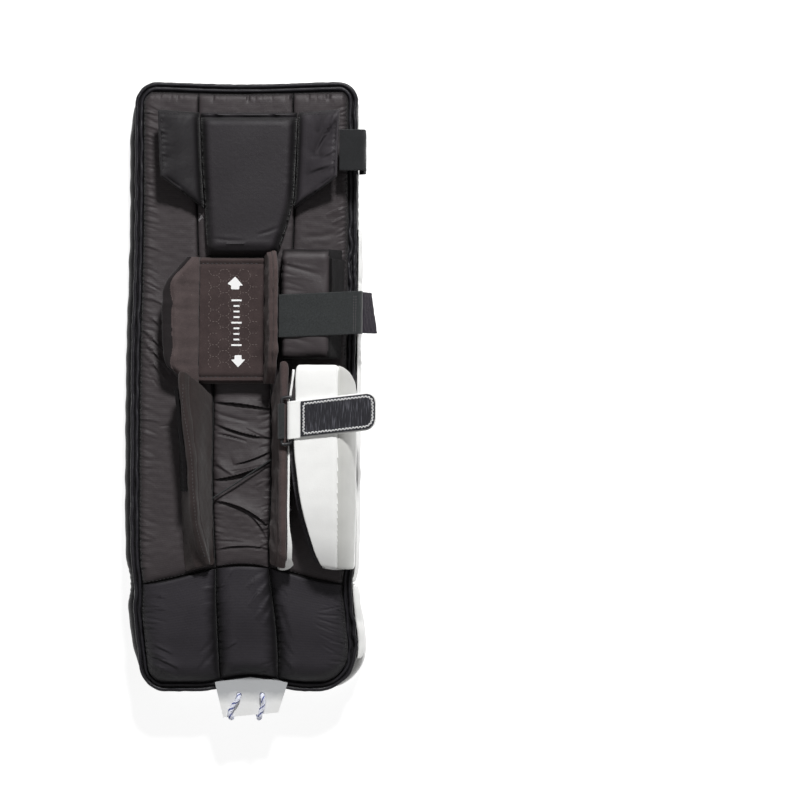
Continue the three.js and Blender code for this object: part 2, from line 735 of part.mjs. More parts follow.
function cushion({ name, from, to, left, right, thicknessAt, extraRows = [], material }) {
  const rows = rowsBetween(from, to, [1.5, 6]);
  const kept = rows.filter((y) => extraRows.every((extra) => Math.abs(extra - y) > 3));
  const rings = [...kept, ...extraRows].sort((a, b) => a - b).map((y) => {
    const [x0, x1] = [left(y), right(y)];
    const middle = [0.25, 0.5, 0.75].map((share) => THREE.MathUtils.lerp(x0, x1, share));
    const columns = [x0, x0 + CROWN_STEP, x0 + CROWN_WIDTH, ...middle];
    columns.push(x1 - CROWN_WIDTH, x1 - CROWN_STEP, x1);
    const alongEnd = quarterRound(Math.min(y - from, to - y));
    const top = columns.map((x) => {
      const across = quarterRound(Math.min(x - x0, x1 - x));
      return [x, linerBottom + LINER_EDGE + (thicknessAt(x, y) - LINER_EDGE) * across * alongEnd];
    });
    return ringAt(y, [
      [x0, linerBottom],
      ...middle.map((x) => [x, linerBottom]),
      [x1, linerBottom],
      ...top.reverse(),
    ]);
  });
  return named(name, reshaped(loft(rings)), material);
}

const seamAt = (side, y) =>
  (side === "lateral" ? -1 : 1) * readRows(SEAM_ROWS, side, y / halfLength) * halfWidth;

const linerEnd = halfLength - linerInset - SEAM_WIDTH;

// The centre column is thinner along the calf, where folds cross it.
function centreThickness(x, y) {
  const calf = THREE.MathUtils.smoothstep(wrapEnd + 2 * FOLD_WIDTH - y, 0, 2 * FOLD_WIDTH);
  const dents = CALF_FOLDS.reduce(
    (sum, { along, depth, slant }) =>
      sum + depth * bump(y - along * halfLength - slant * x, 2 * FOLD_WIDTH),
    0,
  );
  return LINER_THICKNESS * (1 - 0.25 * calf - dents * calf);
}

const foldRows = CALF_FOLDS.flatMap(({ along }) =>
  [-1, 0, 1].map((side) => along * halfLength + side * FOLD_WIDTH * 0.8),
);

function linerPieces() {
  const half = SEAM_WIDTH / 2;
  const columns = [
    {
      column: "lateral",
      left: (y) => lateralSide(y, linerInset),
      right: (y) => seamAt("lateral", y) - half,
    },
    {
      column: "centre",
      left: (y) => seamAt("lateral", y) + half,
      right: (y) => seamAt("medial", y) - half,
    },
    {
      column: "medial",
      left: (y) => seamAt("medial", y) + half,
      right: (y) => medialSide(y, linerInset),
    },
  ];
  return columns.flatMap(({ column, left, right }) => [
    cushion({
      name: `liner_${column}`,
      from: BOOT_BREAK + half,
      to: linerEnd,
      left,
      right,
      thicknessAt: column === "centre" ? centreThickness : () => LINER_THICKNESS,
      extraRows: column === "centre" ? foldRows : [],
      material: materials.nylon,
    }),
    cushion({
      name: `boot_liner_${column}`,
      from: -linerEnd,
      to: BOOT_BREAK - half,
      left,
      right,
      thicknessAt: () => BOOT_LINER_THICKNESS,
      material: materials.nylon,
    }),
  ]);
}

// Thigh pad, wings and strap

const thighPadSide = (y, side) => {
  const share = (thighPadEnd - y) / THIGH_PAD_LENGTH;
  const half = (THIGH_PAD_WIDTH / 2) * readRows(THIGH_PAD_ROWS, side, share);
  return THIGH_PAD_SIDE + (side === "lateral" ? -half : half);
};

function thighPad() {
  const [from, to] = [thighPadEnd - THIGH_PAD_LENGTH, thighPadEnd];
  const rings = rowsBetween(from, to, [1, 4, 10]).map((y) => {
    const [x0, x1] = [thighPadSide(y, "lateral"), thighPadSide(y, "medial")];
    const end = THREE.MathUtils.clamp(Math.min(y - from, to - y) / THIGH_PAD_ROUNDING, 0, 1);
    const drop = THIGH_PAD_ROUNDING * (1 - Math.sqrt(1 - (1 - end) ** 2));
    const top = deck + THIGH_PAD_THICKNESS - drop;
    const r = THIGH_PAD_ROUNDING;
    return ringAt(y, [
      [x0 + 2, deck],
      [x1 - 2, deck],
      [x1, deck + 3],
      [x1, top - r],
      [x1 - r * 0.3, top - r * 0.3],
      [x1 - r, top],
      [x0 + r, top],
      [x0 + r * 0.3, top - r * 0.3],
      [x0, top - r],
      [x0, deck + 3],
    ]);
  });
  return named("thigh_pad", reshaped(loft(rings)), materials.nylon);
}

// A wing beside the thigh pad: it is thick at its root, its outer end stands off the liner, and its
// toe edge runs aslant.
function thighWing(side) {
  const sign = side === "lateral" ? -1 : 1;
  const top = thighPadEnd;
  const shares = [0, 0.04, 0.3, 0.62, 0.93, 1];
  const rings = shares.map((share) => {
    const length = THREE.MathUtils.lerp(WING_ROOT_LENGTH, WING_LENGTH, share);
    const bottom = deck + WING_LIFT * share ** 1.5;
    const edge = Math.min(1, 0.55 + 6 * Math.min(share, 1 - share));
    const full = THREE.MathUtils.lerp(WING_ROOT_THICKNESS, WING_THICKNESS, share);
    const thick = full * edge;
    const rise = share > 0.5 ? (full - thick) / 2 : 0;
    const ys = [0, 0.03, 0.25, 0.5, 0.75, 0.97, 1].map((k) => top - length * (1 - k));
    const xAt = (y) => thighPadSide(y, side) + sign * (WING_GAP + WING_REACH * share);
    const lower = ys.map((y) => new THREE.Vector3(xAt(y), y, bottom + rise));
    const upper = ys.map((y, i) => {
      const rim = i === 0 || i === ys.length - 1 ? 0.55 : 1;
      return new THREE.Vector3(xAt(y), y, bottom + rise + thick * rim);
    });
    return [...lower, ...upper.reverse()];
  });
  const geometry = reshaped(loft(rings));
  return named(`thigh_wing_${side}`, geometry, materials.nylon);
}

function thighStrap() {
  const wingEnd = thighPadSide(thighStrapCentre + THIGH_STRAP_WIDTH / 2, "medial");
  const start = wingEnd + 2 * WING_GAP + WING_REACH;
  const level = deck + WING_LIFT + WING_THICKNESS / 2;
  const out = coreSide + THIGH_STRAP_STANDOFF;
  const path = roundedPath(
    [
      [start, level],
      [out, level],
      [out, level - THIGH_STRAP_DROP],
      [coreSide + STRAP_THICKNESS / 2, level - THIGH_STRAP_DROP - STRAP_BEND],
    ],
    STRAP_BEND,
  );
  const band = ribbon({
    path,
    thickness: STRAP_THICKNESS,
    width: THIGH_STRAP_WIDTH,
    middle: thighStrapCentre,
  });
  return named("thigh_strap", reshaped(band), materials.elastic);
}

// Knee cradle, block and strap

const cradleBase = deck + CRADLE_STANDOFF;
const cradleFold = (sign) => CRADLE_SIDE + (sign * CRADLE_WIDTH) / 2;

function cradlePad() {
  const [from, to] = [cradleEnd - CRADLE_LENGTH, cradleEnd];
  const [x0, x1] = [cradleFold(-1), cradleFold(1)];
  const rings = rowsBetween(from, to, [2, 6]).map((y) => {
    const end = Math.min(1, 0.6 + Math.min(y - from, to - y) / 12);
    const top = cradleBase + CRADLE_THICKNESS * end;
    return ringAt(y, [
      [x0, deck],
      [x1, deck],
      [x1, top - 1],
      [x1 - 5, top],
      [x0 + 5, top],
      [x0, top - 1],
    ]);
  });
  return named("knee_cradle_pad", reshaped(loft(rings)), materials.suede);
}

// A cradle wing rises from its fold, as far as the table's row says. The medial one leans over the
// thigh pad's end.
function cradleWing(side) {
  const sign = side === "lateral" ? -1 : 1;
  const reach = side === "lateral" ? CRADLE_LATERAL_REACH : CRADLE_MEDIAL_REACH;
  const rise = side === "lateral" ? CRADLE_LATERAL_RISE : CRADLE_MEDIAL_RISE;
  const slant = side === "lateral" ? 0 : CRADLE_MEDIAL_SLANT;
  const [from, to] = [cradleEnd - CRADLE_LENGTH, cradleEnd];
  const half = CRADLE_THICKNESS / 2;
  const lean = Math.hypot(reach, rise);
  const rings = rowsBetween(from, to, [3, 9, 16]).map((y) => {
    const share = readRows(CRADLE_ROWS, side, (to - y) / CRADLE_LENGTH);
    const root = [cradleFold(sign) + sign * (SEAT_GAP + half), cradleBase + half];
    const tip = [root[0] + sign * reach * share, root[1] + rise * share];
    const across = [(-sign * rise * half) / lean, (reach * half) / lean];
    const rounded = [(sign * reach * half) / lean, (rise * half) / lean].map((v) => v * 0.7);
    const near = slant * THREE.MathUtils.smoothstep(y, to - 4 * CRADLE_THICKNESS, to);
    const section = [
      [root[0] - sign * half, root[1] - half],
      [root[0] - across[0], root[1] - half],
      [tip[0] - across[0], tip[1] - across[1]],
      [tip[0] + rounded[0], tip[1] + rounded[1]],
      [tip[0] + across[0], tip[1] + across[1]],
      [root[0] - sign * half, root[1] + half * 0.8],
    ];
    return section.map(
      ([x, z]) => new THREE.Vector3(x, y + near * ((z - cradleBase) / rise) ** 2, z),
    );
  });
  return named(`knee_cradle_wing_${side}`, reshaped(loft(rings)), materials.suede);
}

const wingOuterFace = cradleFold(1) + CRADLE_MEDIAL_REACH + CRADLE_THICKNESS + 2 * SEAT_GAP;
const blockStart = wingOuterFace + KNEE_BLOCK_GAP;
const blockEnd = blockStart + KNEE_BLOCK_WIDTH;

const blockTop = deck + KNEE_BLOCK_HEIGHT;
const blockThighEnd = cradleEnd + KNEE_BLOCK_LEAD;

function kneeBlock() {
  const [from, to] = [blockThighEnd - KNEE_BLOCK_LENGTH, blockThighEnd];
  const r = KNEE_BLOCK_ROUNDING;
  const rings = rowsBetween(from, to, [1, 4, 11]).map((y) => {
    const end = THREE.MathUtils.clamp(Math.min(y - from, to - y) / r, 0, 1);
    const top = blockTop - r * (1 - Math.sqrt(1 - (1 - end) ** 2));
    return ringAt(y, [
      [blockStart, deck],
      [blockEnd + KNEE_BLOCK_FOOT, deck],
      [blockEnd, top - r],
      [blockEnd - r * 0.3, top - r * 0.3],
      [blockEnd - r, top],
      [blockStart + r, top],
      [blockStart + r * 0.3, top - r * 0.3],
      [blockStart, top - r],
    ]);
  });
  return named("knee_block", reshaped(loft(rings)), materials.nylon);
}

// The loop patch lies on the block's sloping medial side.
function blockPatch() {
  const to = blockThighEnd - KNEE_BLOCK_ROUNDING;
  const foot = [blockEnd + KNEE_BLOCK_FOOT, deck];
  const head = [blockEnd, blockTop - KNEE_BLOCK_ROUNDING];
  const at = (share) => [
    THREE.MathUtils.lerp(foot[0], head[0], share),
    THREE.MathUtils.lerp(foot[1], head[1], share),
  ];
  const path = offsetPath([at(0.12), at(0.94)], -SEAT_GAP - BLOCK_PATCH_THICKNESS / 2);
  const section = stripSection(path, BLOCK_PATCH_THICKNESS);
  const rings = [to - BLOCK_PATCH_LENGTH, to].map((y) => ringAt(y, section));
  return named("knee_block_loop_patch", reshaped(loft(rings)), materials.hook);
}

const kneeStrapLevel = blockTop + SEAT_GAP + STRAP_THICKNESS / 2;
const kneeStrapOut = halfWidth + KNEE_STRAP_OVERHANG;

function kneeStrap() {
  const path = roundedPath(
    [
      [wingOuterFace, kneeStrapLevel],
      [kneeStrapOut, kneeStrapLevel],
      [kneeStrapOut + 1, kneeStrapLevel - KNEE_STRAP_DROP],
    ],
    STRAP_BEND,
  );
  const band = ribbon({
    path,
    thickness: STRAP_THICKNESS,
    width: KNEE_STRAP_WIDTH,
    middle: kneeStrapCentre,
    skew: KNEE_STRAP_SKEW,
  });
  return named("knee_strap", reshaped(band), materials.elastic);
}

// The strap's hook end: it hangs from the fold and flares away from the pad towards the toe.
function kneeStrapTab() {
  const top = kneeStrapLevel - KNEE_STRAP_DROP - SEAT_GAP - 0.2;
  const shift = Math.tan(THREE.MathUtils.degToRad(KNEE_STRAP_SKEW)) * (kneeStrapOut - wingOuterFace);
  const rings = [-0.5, 0, 0.5].map((k) => {
    const y = kneeStrapCentre + shift + k * (KNEE_STRAP_WIDTH - 2);
    const flare = KNEE_TAB_FLARE * (0.77 - 0.46 * k);
    const x0 = kneeStrapOut + 1;
    const half = KNEE_TAB_THICKNESS / 2;
    return ringAt(y, [
      [x0 - half, top],
      [x0 + flare - half, top - KNEE_TAB_LENGTH],
      [x0 + flare + half, top - KNEE_TAB_LENGTH + 1],
      [x0 + half, top],
    ]);
  });
  return named("knee_strap_tab", reshaped(loft(rings)), materials.hook);
}

// Calf wraps and what is sewn to them

const wallFoot = pipingTop + SEAT_GAP;
const guardTop = wallFoot + GUARD_HEIGHT;
const strapFold = KEEPER_BAR_RADIUS + SEAT_GAP + STRAP_TAB_THICKNESS / 2;
const barLevel = guardTop - KEEPER_BAR_RADIUS;
const wrapCrown = barLevel - strapFold - STRAP_TAB_THICKNESS / 2 - SEAT_GAP;
const wrapHeight = wrapCrown - WRAP_TIP_THICKNESS / 2 - deck;

const wraps = {
  lateral: { sign: -1, root: LATERAL_WRAP_ROOT, lean: LATERAL_WRAP_LEAN, rows: LATERAL_WRAP_ROWS },
  medial: { sign: 1, root: MEDIAL_WRAP_ROOT, lean: MEDIAL_WRAP_LEAN, rows: MEDIAL_WRAP_ROWS },
};

const wrapRoot = (y, side) => seamAt(side, y) + wraps[side].sign * (wraps[side].root / 2 + 1);

function wrapTip(y, side) {
  const { sign, lean, rows } = wraps[side];
  const share = (wrapEnd - y) / WRAP_LENGTH;
  const height = wrapHeight * readRows(rows, "height", share);
  return [wrapRoot(y, side) + sign * lean * readRows(rows, "lean", share), deck + height];
}

// The thigh end of a wrap is cut aslant: its free edge reaches further than its root.
function slanted(x, y, z) {
  const nearEnd = THREE.MathUtils.smoothstep(y, wrapEnd - 2 * WRAP_SLANT, wrapEnd);
  return new THREE.Vector3(x, y + (WRAP_SLANT * nearEnd * (z - deck)) / wrapHeight, z);
}

function calfWrap(side) {
  const rings = rowsBetween(wrapEnd - WRAP_LENGTH, wrapEnd, [4, 12, 22]).map((y) => {
    const root = [wrapRoot(y, side), deck];
    const section = flapSection(root, wrapTip(y, side), wraps[side].root, WRAP_TIP_THICKNESS);
    return section.map(([x, z]) => slanted(x, y, z));
  });
  return named(`calf_wrap_${side}`, reshaped(loft(rings)), materials.suede);
}

// A strip on the outer face of a wrap, close under its crown, between two places along the wrap.
function outerStrip({ name, side, from, to, height, thickness, curl = () => 0, material }) {
  const { sign, root } = wraps[side];
  const rings = rowsBetween(from, to, [6]).map((y) => {
    const tip = wrapTip(y, side);
    const outerTip = [tip[0] + (sign * WRAP_TIP_THICKNESS) / 2, tip[1]];
    const outerRoot = [wrapRoot(y, side) + (sign * root) / 2, deck];
    const run = Math.hypot(outerTip[0] - outerRoot[0], outerTip[1] - outerRoot[1]);
    const [low, high] = [Math.max(1 - height / run, 0.06), 0.97];
    const at = (share) => [
      THREE.MathUtils.lerp(outerRoot[0], outerTip[0], share),
      THREE.MathUtils.lerp(outerRoot[1], outerTip[1], share),
    ];
    const bow = sign * (3 * SEAT_GAP + thickness / 2);
    const path = offsetPath([at(low), at((low + high) / 2), at(high)], -bow);
    path[2][0] += sign * curl(y);
    return stripSection(path, thickness).map(([x, z]) => slanted(x, y, z));
  });
  return named(name, reshaped(loft(rings)), material);
}

const wrapPatch = () =>
  outerStrip({
    name: "calf_wrap_loop_patch",
    side: "lateral",
    from: wrapEnd - WRAP_SLANT / 2 - WRAP_PATCH_LENGTH,
    to: wrapEnd - WRAP_SLANT / 2,
    height: WRAP_PATCH_HEIGHT,
    thickness: WRAP_PATCH_THICKNESS,
    material: materials.hook,
  });

const plateEnds = [wrapEnd - 0.96 * WRAP_LENGTH, wrapEnd - 0.03 * WRAP_LENGTH];

// The plate stands off the wrap at both ends.
const plateCurl = (y) =>
  WRAP_PLATE_CURL * (bump(y - plateEnds[0], 0.4 * WRAP_LENGTH) + bump(y - plateEnds[1], 0.3 * WRAP_LENGTH));

const wrapPlate = () =>
  outerStrip({
    name: "calf_wrap_plate",
    side: "medial",
    from: plateEnds[0],
    to: plateEnds[1],
    height: WRAP_PLATE_HEIGHT,
    thickness: WRAP_PLATE_THICKNESS,
    curl: plateCurl,
    material: materials.leather,
  });

function wrapRivet() {
  const y = wrapEnd - 0.64 * WRAP_LENGTH;
  const tip = wrapTip(y, "medial");
  const outer = [wrapRoot(y, "medial") + MEDIAL_WRAP_ROOT / 2, tip[0] + WRAP_TIP_THICKNESS / 2];
  const share = 0.7;
  const x = THREE.MathUtils.lerp(outer[0], outer[1], share) + 4 * SEAT_GAP + WRAP_PLATE_THICKNESS;
  const profile = [
    new THREE.Vector2(0, 0),
    new THREE.Vector2(RIVET_RADIUS, 0),
    new THREE.Vector2(RIVET_RADIUS, RIVET_RADIUS * 0.25),
    new THREE.Vector2(RIVET_RADIUS * 0.6, RIVET_RADIUS * 0.6),
    new THREE.Vector2(0, RIVET_RADIUS * 0.75),
  ];
  const geometry = new THREE.LatheGeometry(profile, 12);
  geometry.rotateZ(-Math.PI / 2);
  geometry.translate(x + SEAT_GAP, y, THREE.MathUtils.lerp(deck, tip[1], share));
  return named("calf_wrap_rivet", reshaped(geometry), materials.metal);
}

// A taut elastic cord across the calf channel, from one wrap's root to the other's.
function calfCord() {
  const [y0, y1] = [wrapEnd - 0.58 * WRAP_LENGTH, wrapEnd - 0.36 * WRAP_LENGTH];
  const z = deck + CALF_CORD_CLEARANCE;
  const side = (y, name) =>
    wrapRoot(y, name) - wraps[name].sign * (wraps[name].root / 2 + CALF_CORD_RADIUS / 2 + SEAT_GAP);
  const start = new THREE.Vector3(side(y0, "lateral"), y0, z);
  const end = new THREE.Vector3(side(y1, "medial"), y1, z);
  const shape = new THREE.Shape();
  shape.absarc(0, 0, CALF_CORD_RADIUS, 0, 2 * Math.PI, false);
  const geometry = new THREE.ExtrudeGeometry(shape, {
    extrudePath: new THREE.LineCurve3(start, end),
    steps: 4,
    curveSegments: 4,
  });
  return named("calf_cord", reshaped(geometry), materials.elastic);
}

// Calf guard: a wall on the medial rim that curls over the calf, with a lining under its top

const guardWall = halfWidth - linerInset + SEAT_GAP + GUARD_THICKNESS / 2;
const guardShare = (y) => (guardEnd - y) / GUARD_LENGTH;
const guardReach = (y) => GUARD_REACH * readRows(GUARD_ROWS, "reach", guardShare(y));
const guardHeight = (y) => GUARD_HEIGHT * readRows(GUARD_ROWS, "height", guardShare(y));

// The guard's middle line at a place along it, from its foot to its free edge.
function guardPath(y) {
  const height = guardHeight(y);
  const top = wallFoot + height - GUARD_THICKNESS / 2;
  return roundedPath(
    [
      [guardWall, wallFoot],
      [guardWall - 1, wallFoot + height * 0.4],
      [guardWall - 6, wallFoot + height * 0.7],
      [guardWall - GUARD_BEVEL, top],
      [guardWall - guardReach(y), top],
    ],
    GUARD_BEND,
    2,
  );
}

// The thigh end of the guard is cut aslant, furthest at its top.
function guardPoint(x, y, z) {
  const nearEnd = THREE.MathUtils.smoothstep(y, guardEnd - 2 * GUARD_SLANT, guardEnd);
  const low = THREE.MathUtils.clamp(1 - (z - wallFoot) / guardHeight(y), 0, 1);
  return new THREE.Vector3(x, y - GUARD_SLANT * nearEnd * low, Math.max(z, wallFoot));
}

function calfGuard() {
  const rings = rowsBetween(guardEnd - GUARD_LENGTH, guardEnd, [5, 14]).map((y) =>
    stripSection(guardPath(y), GUARD_THICKNESS).map(([x, z]) => guardPoint(x, y, z)),
  );
  return named("calf_guard", reshaped(loft(rings)), materials.leather);
}

function guardLining() {
  const from = guardEnd - GUARD_LENGTH + GUARD_LINING_INSET;
  const rings = rowsBetween(from, from + GUARD_LINING_LENGTH, [5]).map((y) => {
    const under = offsetPath(
      guardPath(y),
      GUARD_THICKNESS / 2 + 2 * SEAT_GAP + GUARD_LINING_THICKNESS / 2,
    );
    const free = under[under.length - 1];
    const path = [
      [free[0] + guardReach(y) / 2, free[1]],
      [free[0] - GUARD_LINING_OVERHANG, free[1]],
    ];
    return stripSection(path, GUARD_LINING_THICKNESS).map(([x, z]) => guardPoint(x, y, z));
  });
  return named("calf_guard_lining", reshaped(loft(rings)), materials.gusset);
}

// White strap with its hook pad, the keeper ring and the elastic that holds it

const strapStart = guardWall - GUARD_REACH - STRAP_TAIL - STRAP_TAB_THICKNESS - 2 * SEAT_GAP;
const strapBar = [strapStart + strapFold + STRAP_TAB_THICKNESS / 2, barLevel];
const elasticBar = [strapBar[0] - KEEPER_GAP - 2 * KEEPER_BAR_RADIUS, barLevel];
const strapFar = strapStart + STRAP_TAB_LENGTH;

// The strap is folded round its bar, then runs over the guard to its rounded end.
function calfStrap() {
  const tail = [strapBar[0] + STRAP_TAIL / 2, strapBar[1] - strapFold];
  const fold = foldRound(strapBar, strapFold);
  const top = fold[fold.length - 1];
  const path = [tail, ...fold, ...roundedEndPath(top, [strapFar, top[1]], STRAP_TAB_CORNER).slice(1)];
  const band = ribbon({
    path,
    thickness: STRAP_TAB_THICKNESS,
    width: STRAP_TAB_WIDTH,
    middle: strapTabCentre,
    skew: STRAP_TAB_SKEW,
    skewFrom: strapStart,
    corner: STRAP_TAB_CORNER,
  });
  return named("calf_strap", reshaped(band), materials.leather);
}

function hookPad() {
  const z = barLevel + strapFold + STRAP_TAB_THICKNESS / 2 + SEAT_GAP + HOOK_PAD_THICKNESS / 2;
  const corner = STRAP_TAB_CORNER - HOOK_PAD_MARGIN;
  const band = ribbon({
    path: roundedEndPath([strapStart + STRAP_LEAD, z], [strapFar - HOOK_PAD_MARGIN, z], corner),
    thickness: HOOK_PAD_THICKNESS,
    width: STRAP_TAB_WIDTH - 2 * HOOK_PAD_MARGIN,
    middle: strapTabCentre,
    skew: STRAP_TAB_SKEW,
    skewFrom: strapStart,
    corner,
  });
  return named("calf_strap_hook_pad", reshaped(band), materials.hook);
}

// A flat ring of round bar with long sides along Y.
function strapKeeper() {
  const long = STRAP_TAB_WIDTH / 2 + KEEPER_REACH;
  const short = KEEPER_GAP / 2 + KEEPER_BAR_RADIUS;
  const round = KEEPER_BAR_RADIUS * 1.5;
  const corners = [
    [short, long],
    [-short, long],
    [-short, -long],
    [short, -long],
  ];
  const path = corners.flatMap(([x, y], i) => {
    const inner = [x - Math.sign(x) * round, y - Math.sign(y) * round];
    return [0, 0.5, 1].map((k) => {
      const angle = ((i + k) * Math.PI) / 2;
      return new THREE.Vector3(
        inner[0] + round * Math.cos(angle),
        inner[1] + round * Math.sin(angle),
        0,
      );
    });
  });
  const geometry = loft(tubeRings(path, KEEPER_BAR_RADIUS, 8), true);
  const skew = Math.tan(THREE.MathUtils.degToRad(STRAP_TAB_SKEW));
  const x = (strapBar[0] + elasticBar[0]) / 2;
  geometry.applyMatrix4(new THREE.Matrix4().makeShear(skew, 0, 0, 0, 0, 0));
  geometry.translate(x, strapTabCentre + skew * (x - strapStart), barLevel);
  return named("calf_strap_keeper", reshaped(geometry), materials.plastic);
}

// A loop of elastic from the medial wrap's crown round the keeper's other bar.
function strapElastic() {
  const radius = KEEPER_BAR_RADIUS + SEAT_GAP + STRAP_THICKNESS / 2;
  const fold = foldRound(elasticBar, radius);
  const [under, over] = [fold[0], fold[fold.length - 1]];
  const path = [[under[0] + 3, under[1]], ...fold, [over[0] + KEEPER_GAP / 2, over[1]]];
  const band = ribbon({
    path,
    thickness: STRAP_THICKNESS,
    width: STRAP_TAB_WIDTH - 3,
    middle: strapTabCentre,
    skew: STRAP_TAB_SKEW,
    skewFrom: strapStart,
  });
  return named("calf_strap_elastic", reshaped(band), materials.elastic);
}

// Toe bridge and lace, laid out flat from the toe wall and then sloped down

const bridgeLevel = pipingTop + SEAT_GAP;
const holeFromWall = 12;

function placeAtToe(geometry) {
  geometry.rotateX(THREE.MathUtils.degToRad(TOE_BRIDGE_SLOPE));
  const wall = shapePad(new THREE.Vector3(TOE_NOTCH_SIDE, -halfLength, bridgeLevel));
  geometry.translate(wall.x, wall.y - 2 * SEAT_GAP, wall.z);
  return geometry;
}

// A point of the toe's edge, which runs straight from one end column to the next.
function toeEdgeAt(x) {
  const i = Math.min(endColumns.filter((column) => column <= x).length, endColumns.length - 1);
  const [a, b] = [endColumns[i - 1], endColumns[i]].map((column) =>
    shapePad(new THREE.Vector3(column, -halfLength, 0)),
  );
  return a.lerp(b, (x - endColumns[i - 1]) / (endColumns[i] - endColumns[i - 1]));
}

// The bridge's root lies over the pipings and follows the notch in the toe.
function toeBridge() {
  const [root, tip] = [TOE_BRIDGE_ROOT_WIDTH / 2, TOE_BRIDGE_TIP_WIDTH / 2];
  const middle = shapePad(new THREE.Vector3(TOE_NOTCH_SIDE, -halfLength, 0));
  const inside = endColumns.filter((x) => Math.abs(x - TOE_NOTCH_SIDE) < root);
  const across = [TOE_NOTCH_SIDE + root, ...inside.reverse(), TOE_NOTCH_SIDE - root];
  const rootPoints = across.map((x) => {
    const edge = toeEdgeAt(x);
    return new THREE.Vector2(edge.x - middle.x, edge.y - middle.y + TOE_BRIDGE_OVERLAP);
  });
  const shape = new THREE.Shape([
    ...rootPoints,
    new THREE.Vector2(-tip, -TOE_BRIDGE_LENGTH - TOE_BRIDGE_SKEW),
    new THREE.Vector2(tip, -TOE_BRIDGE_LENGTH + TOE_BRIDGE_SKEW),
  ]);
  for (const side of [-1, 1]) {
    const hole = new THREE.Path();
    const radius = LACE_RADIUS + LACE_HOLE_CLEARANCE;
    hole.absarc((side * LACE_SPACING) / 2, -holeFromWall, radius, 0, 2 * Math.PI, true);
    shape.holes.push(hole);
  }
  const geometry = new THREE.ExtrudeGeometry(shape, {
    depth: TOE_BRIDGE_THICKNESS,
    bevelEnabled: false,
    curveSegments: 5,
  });
  return named("toe_bridge", placeAtToe(geometry), materials.leather);
}

// One closed lace: up through one hole, round the bridge's free edge, and back through the other.
function toeLace() {
  const over = TOE_BRIDGE_THICKNESS + LACE_RADIUS + SEAT_GAP;
  const under = -LACE_RADIUS - SEAT_GAP;
  const edge = -TOE_BRIDGE_LENGTH - TOE_BRIDGE_SKEW / 2 - LACE_RADIUS - SEAT_GAP;
  const hole = LACE_SPACING / 2;
  const half = [
    [hole, -holeFromWall, under - 1.5],
    [hole, -holeFromWall, TOE_BRIDGE_THICKNESS / 2],
    [hole + 0.6, -holeFromWall - 2.5, over + 0.8],
    [hole + 2.5, -holeFromWall - 12, over + 0.3],
    [hole + 1.5, edge + 4, over + 0.5],
    [hole, edge - 1.2, TOE_BRIDGE_THICKNESS / 2],
    [hole - 1, edge + 3, under - 1],
    [hole - 3, edge + 14, under - 0.8],
  ];
  const points = [
    ...half.map(([x, y, z]) => new THREE.Vector3(x, y, z)),
    ...half.map(([x, y, z]) => new THREE.Vector3(-x, y, z)).reverse(),
  ];
  const route = new THREE.CatmullRomCurve3(points, true, "centripetal");
  const geometry = new THREE.TubeGeometry(route, 34, LACE_RADIUS, 6, true);
  return named("toe_lace", placeAtToe(geometry), materials.lace);
}

const pad = new THREE.Group();
pad.add(
  frontShell(),
  lateralRoll(),
  core(),
  sidePanel("medial_side_panel", BOOT_BREAK + 2, KNEE_BREAK + SIDE_PANEL_LEAD, SIDE_PANEL_THICKNESS),
  sidePanel("boot_side_panel", bootPanelEnd, BOOT_BREAK - 2, BOOT_PANEL_THICKNESS),
  piping("rim_piping_outer", outerPipingInset),
  piping("rim_piping_inner", innerPipingInset),
  ...linerPieces(),
  thighPad(),
  thighWing("lateral"),
  thighWing("medial"),
  thighStrap(),
  cradlePad(),
  cradleWing("lateral"),
  cradleWing("medial"),
  kneeBlock(),
  blockPatch(),
  kneeStrap(),
  kneeStrapTab(),
  calfWrap("lateral"),
  calfWrap("medial"),
  wrapPatch(),
  wrapPlate(),
  wrapRivet(),
  calfCord(),
  calfGuard(),
  guardLining(),
  calfStrap(),
  hookPad(),
  strapKeeper(),
  strapElastic(),
  toeBridge(),
  toeLace(),
);

// The part's origin is the middle of its box, on the floor.
const box = new THREE.Box3().setFromObject(pad);
const middle = box.getCenter(new THREE.Vector3());
pad.position.set(-middle.x, -middle.y, -box.min.z);

export default pad;
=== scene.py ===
"""Looks of an ice hockey goalie leg pad that lies on its face, leg side up.

Lengths are in millimetres in the pad's flat layout: +X to the medial side, +Y to the thigh end, +Z up.
shape_pad takes the flat layout to the real outline and profile, and to_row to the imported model's frame.
"""

import math

import bmesh
import bpy
import numpy as np
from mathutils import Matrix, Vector
from mathutils.bvhtree import BVHTree


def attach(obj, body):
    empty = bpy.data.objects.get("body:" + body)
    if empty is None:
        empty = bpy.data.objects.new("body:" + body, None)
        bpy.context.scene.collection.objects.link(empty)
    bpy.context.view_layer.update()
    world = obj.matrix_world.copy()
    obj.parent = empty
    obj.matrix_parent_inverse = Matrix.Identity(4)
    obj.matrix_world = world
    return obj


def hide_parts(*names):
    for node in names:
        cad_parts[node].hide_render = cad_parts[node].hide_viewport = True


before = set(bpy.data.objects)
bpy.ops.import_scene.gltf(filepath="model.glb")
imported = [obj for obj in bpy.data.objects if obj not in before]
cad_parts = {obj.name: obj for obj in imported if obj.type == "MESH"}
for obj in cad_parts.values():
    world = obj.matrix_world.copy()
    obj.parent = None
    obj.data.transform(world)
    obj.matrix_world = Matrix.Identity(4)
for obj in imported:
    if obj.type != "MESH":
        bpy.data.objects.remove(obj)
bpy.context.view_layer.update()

# Camera, light and floor in metres
CAMERA_PLACE = (0.1742, 0.0018, 3.0)
CAMERA_LENS = 114
SENSOR_WIDTH = 36
LIGHT_TARGET = (0, 0, 0.05)
KEY_LIGHT = {"place": (0.75, 3.0, 3.1), "size": 0.6, "power": 205}
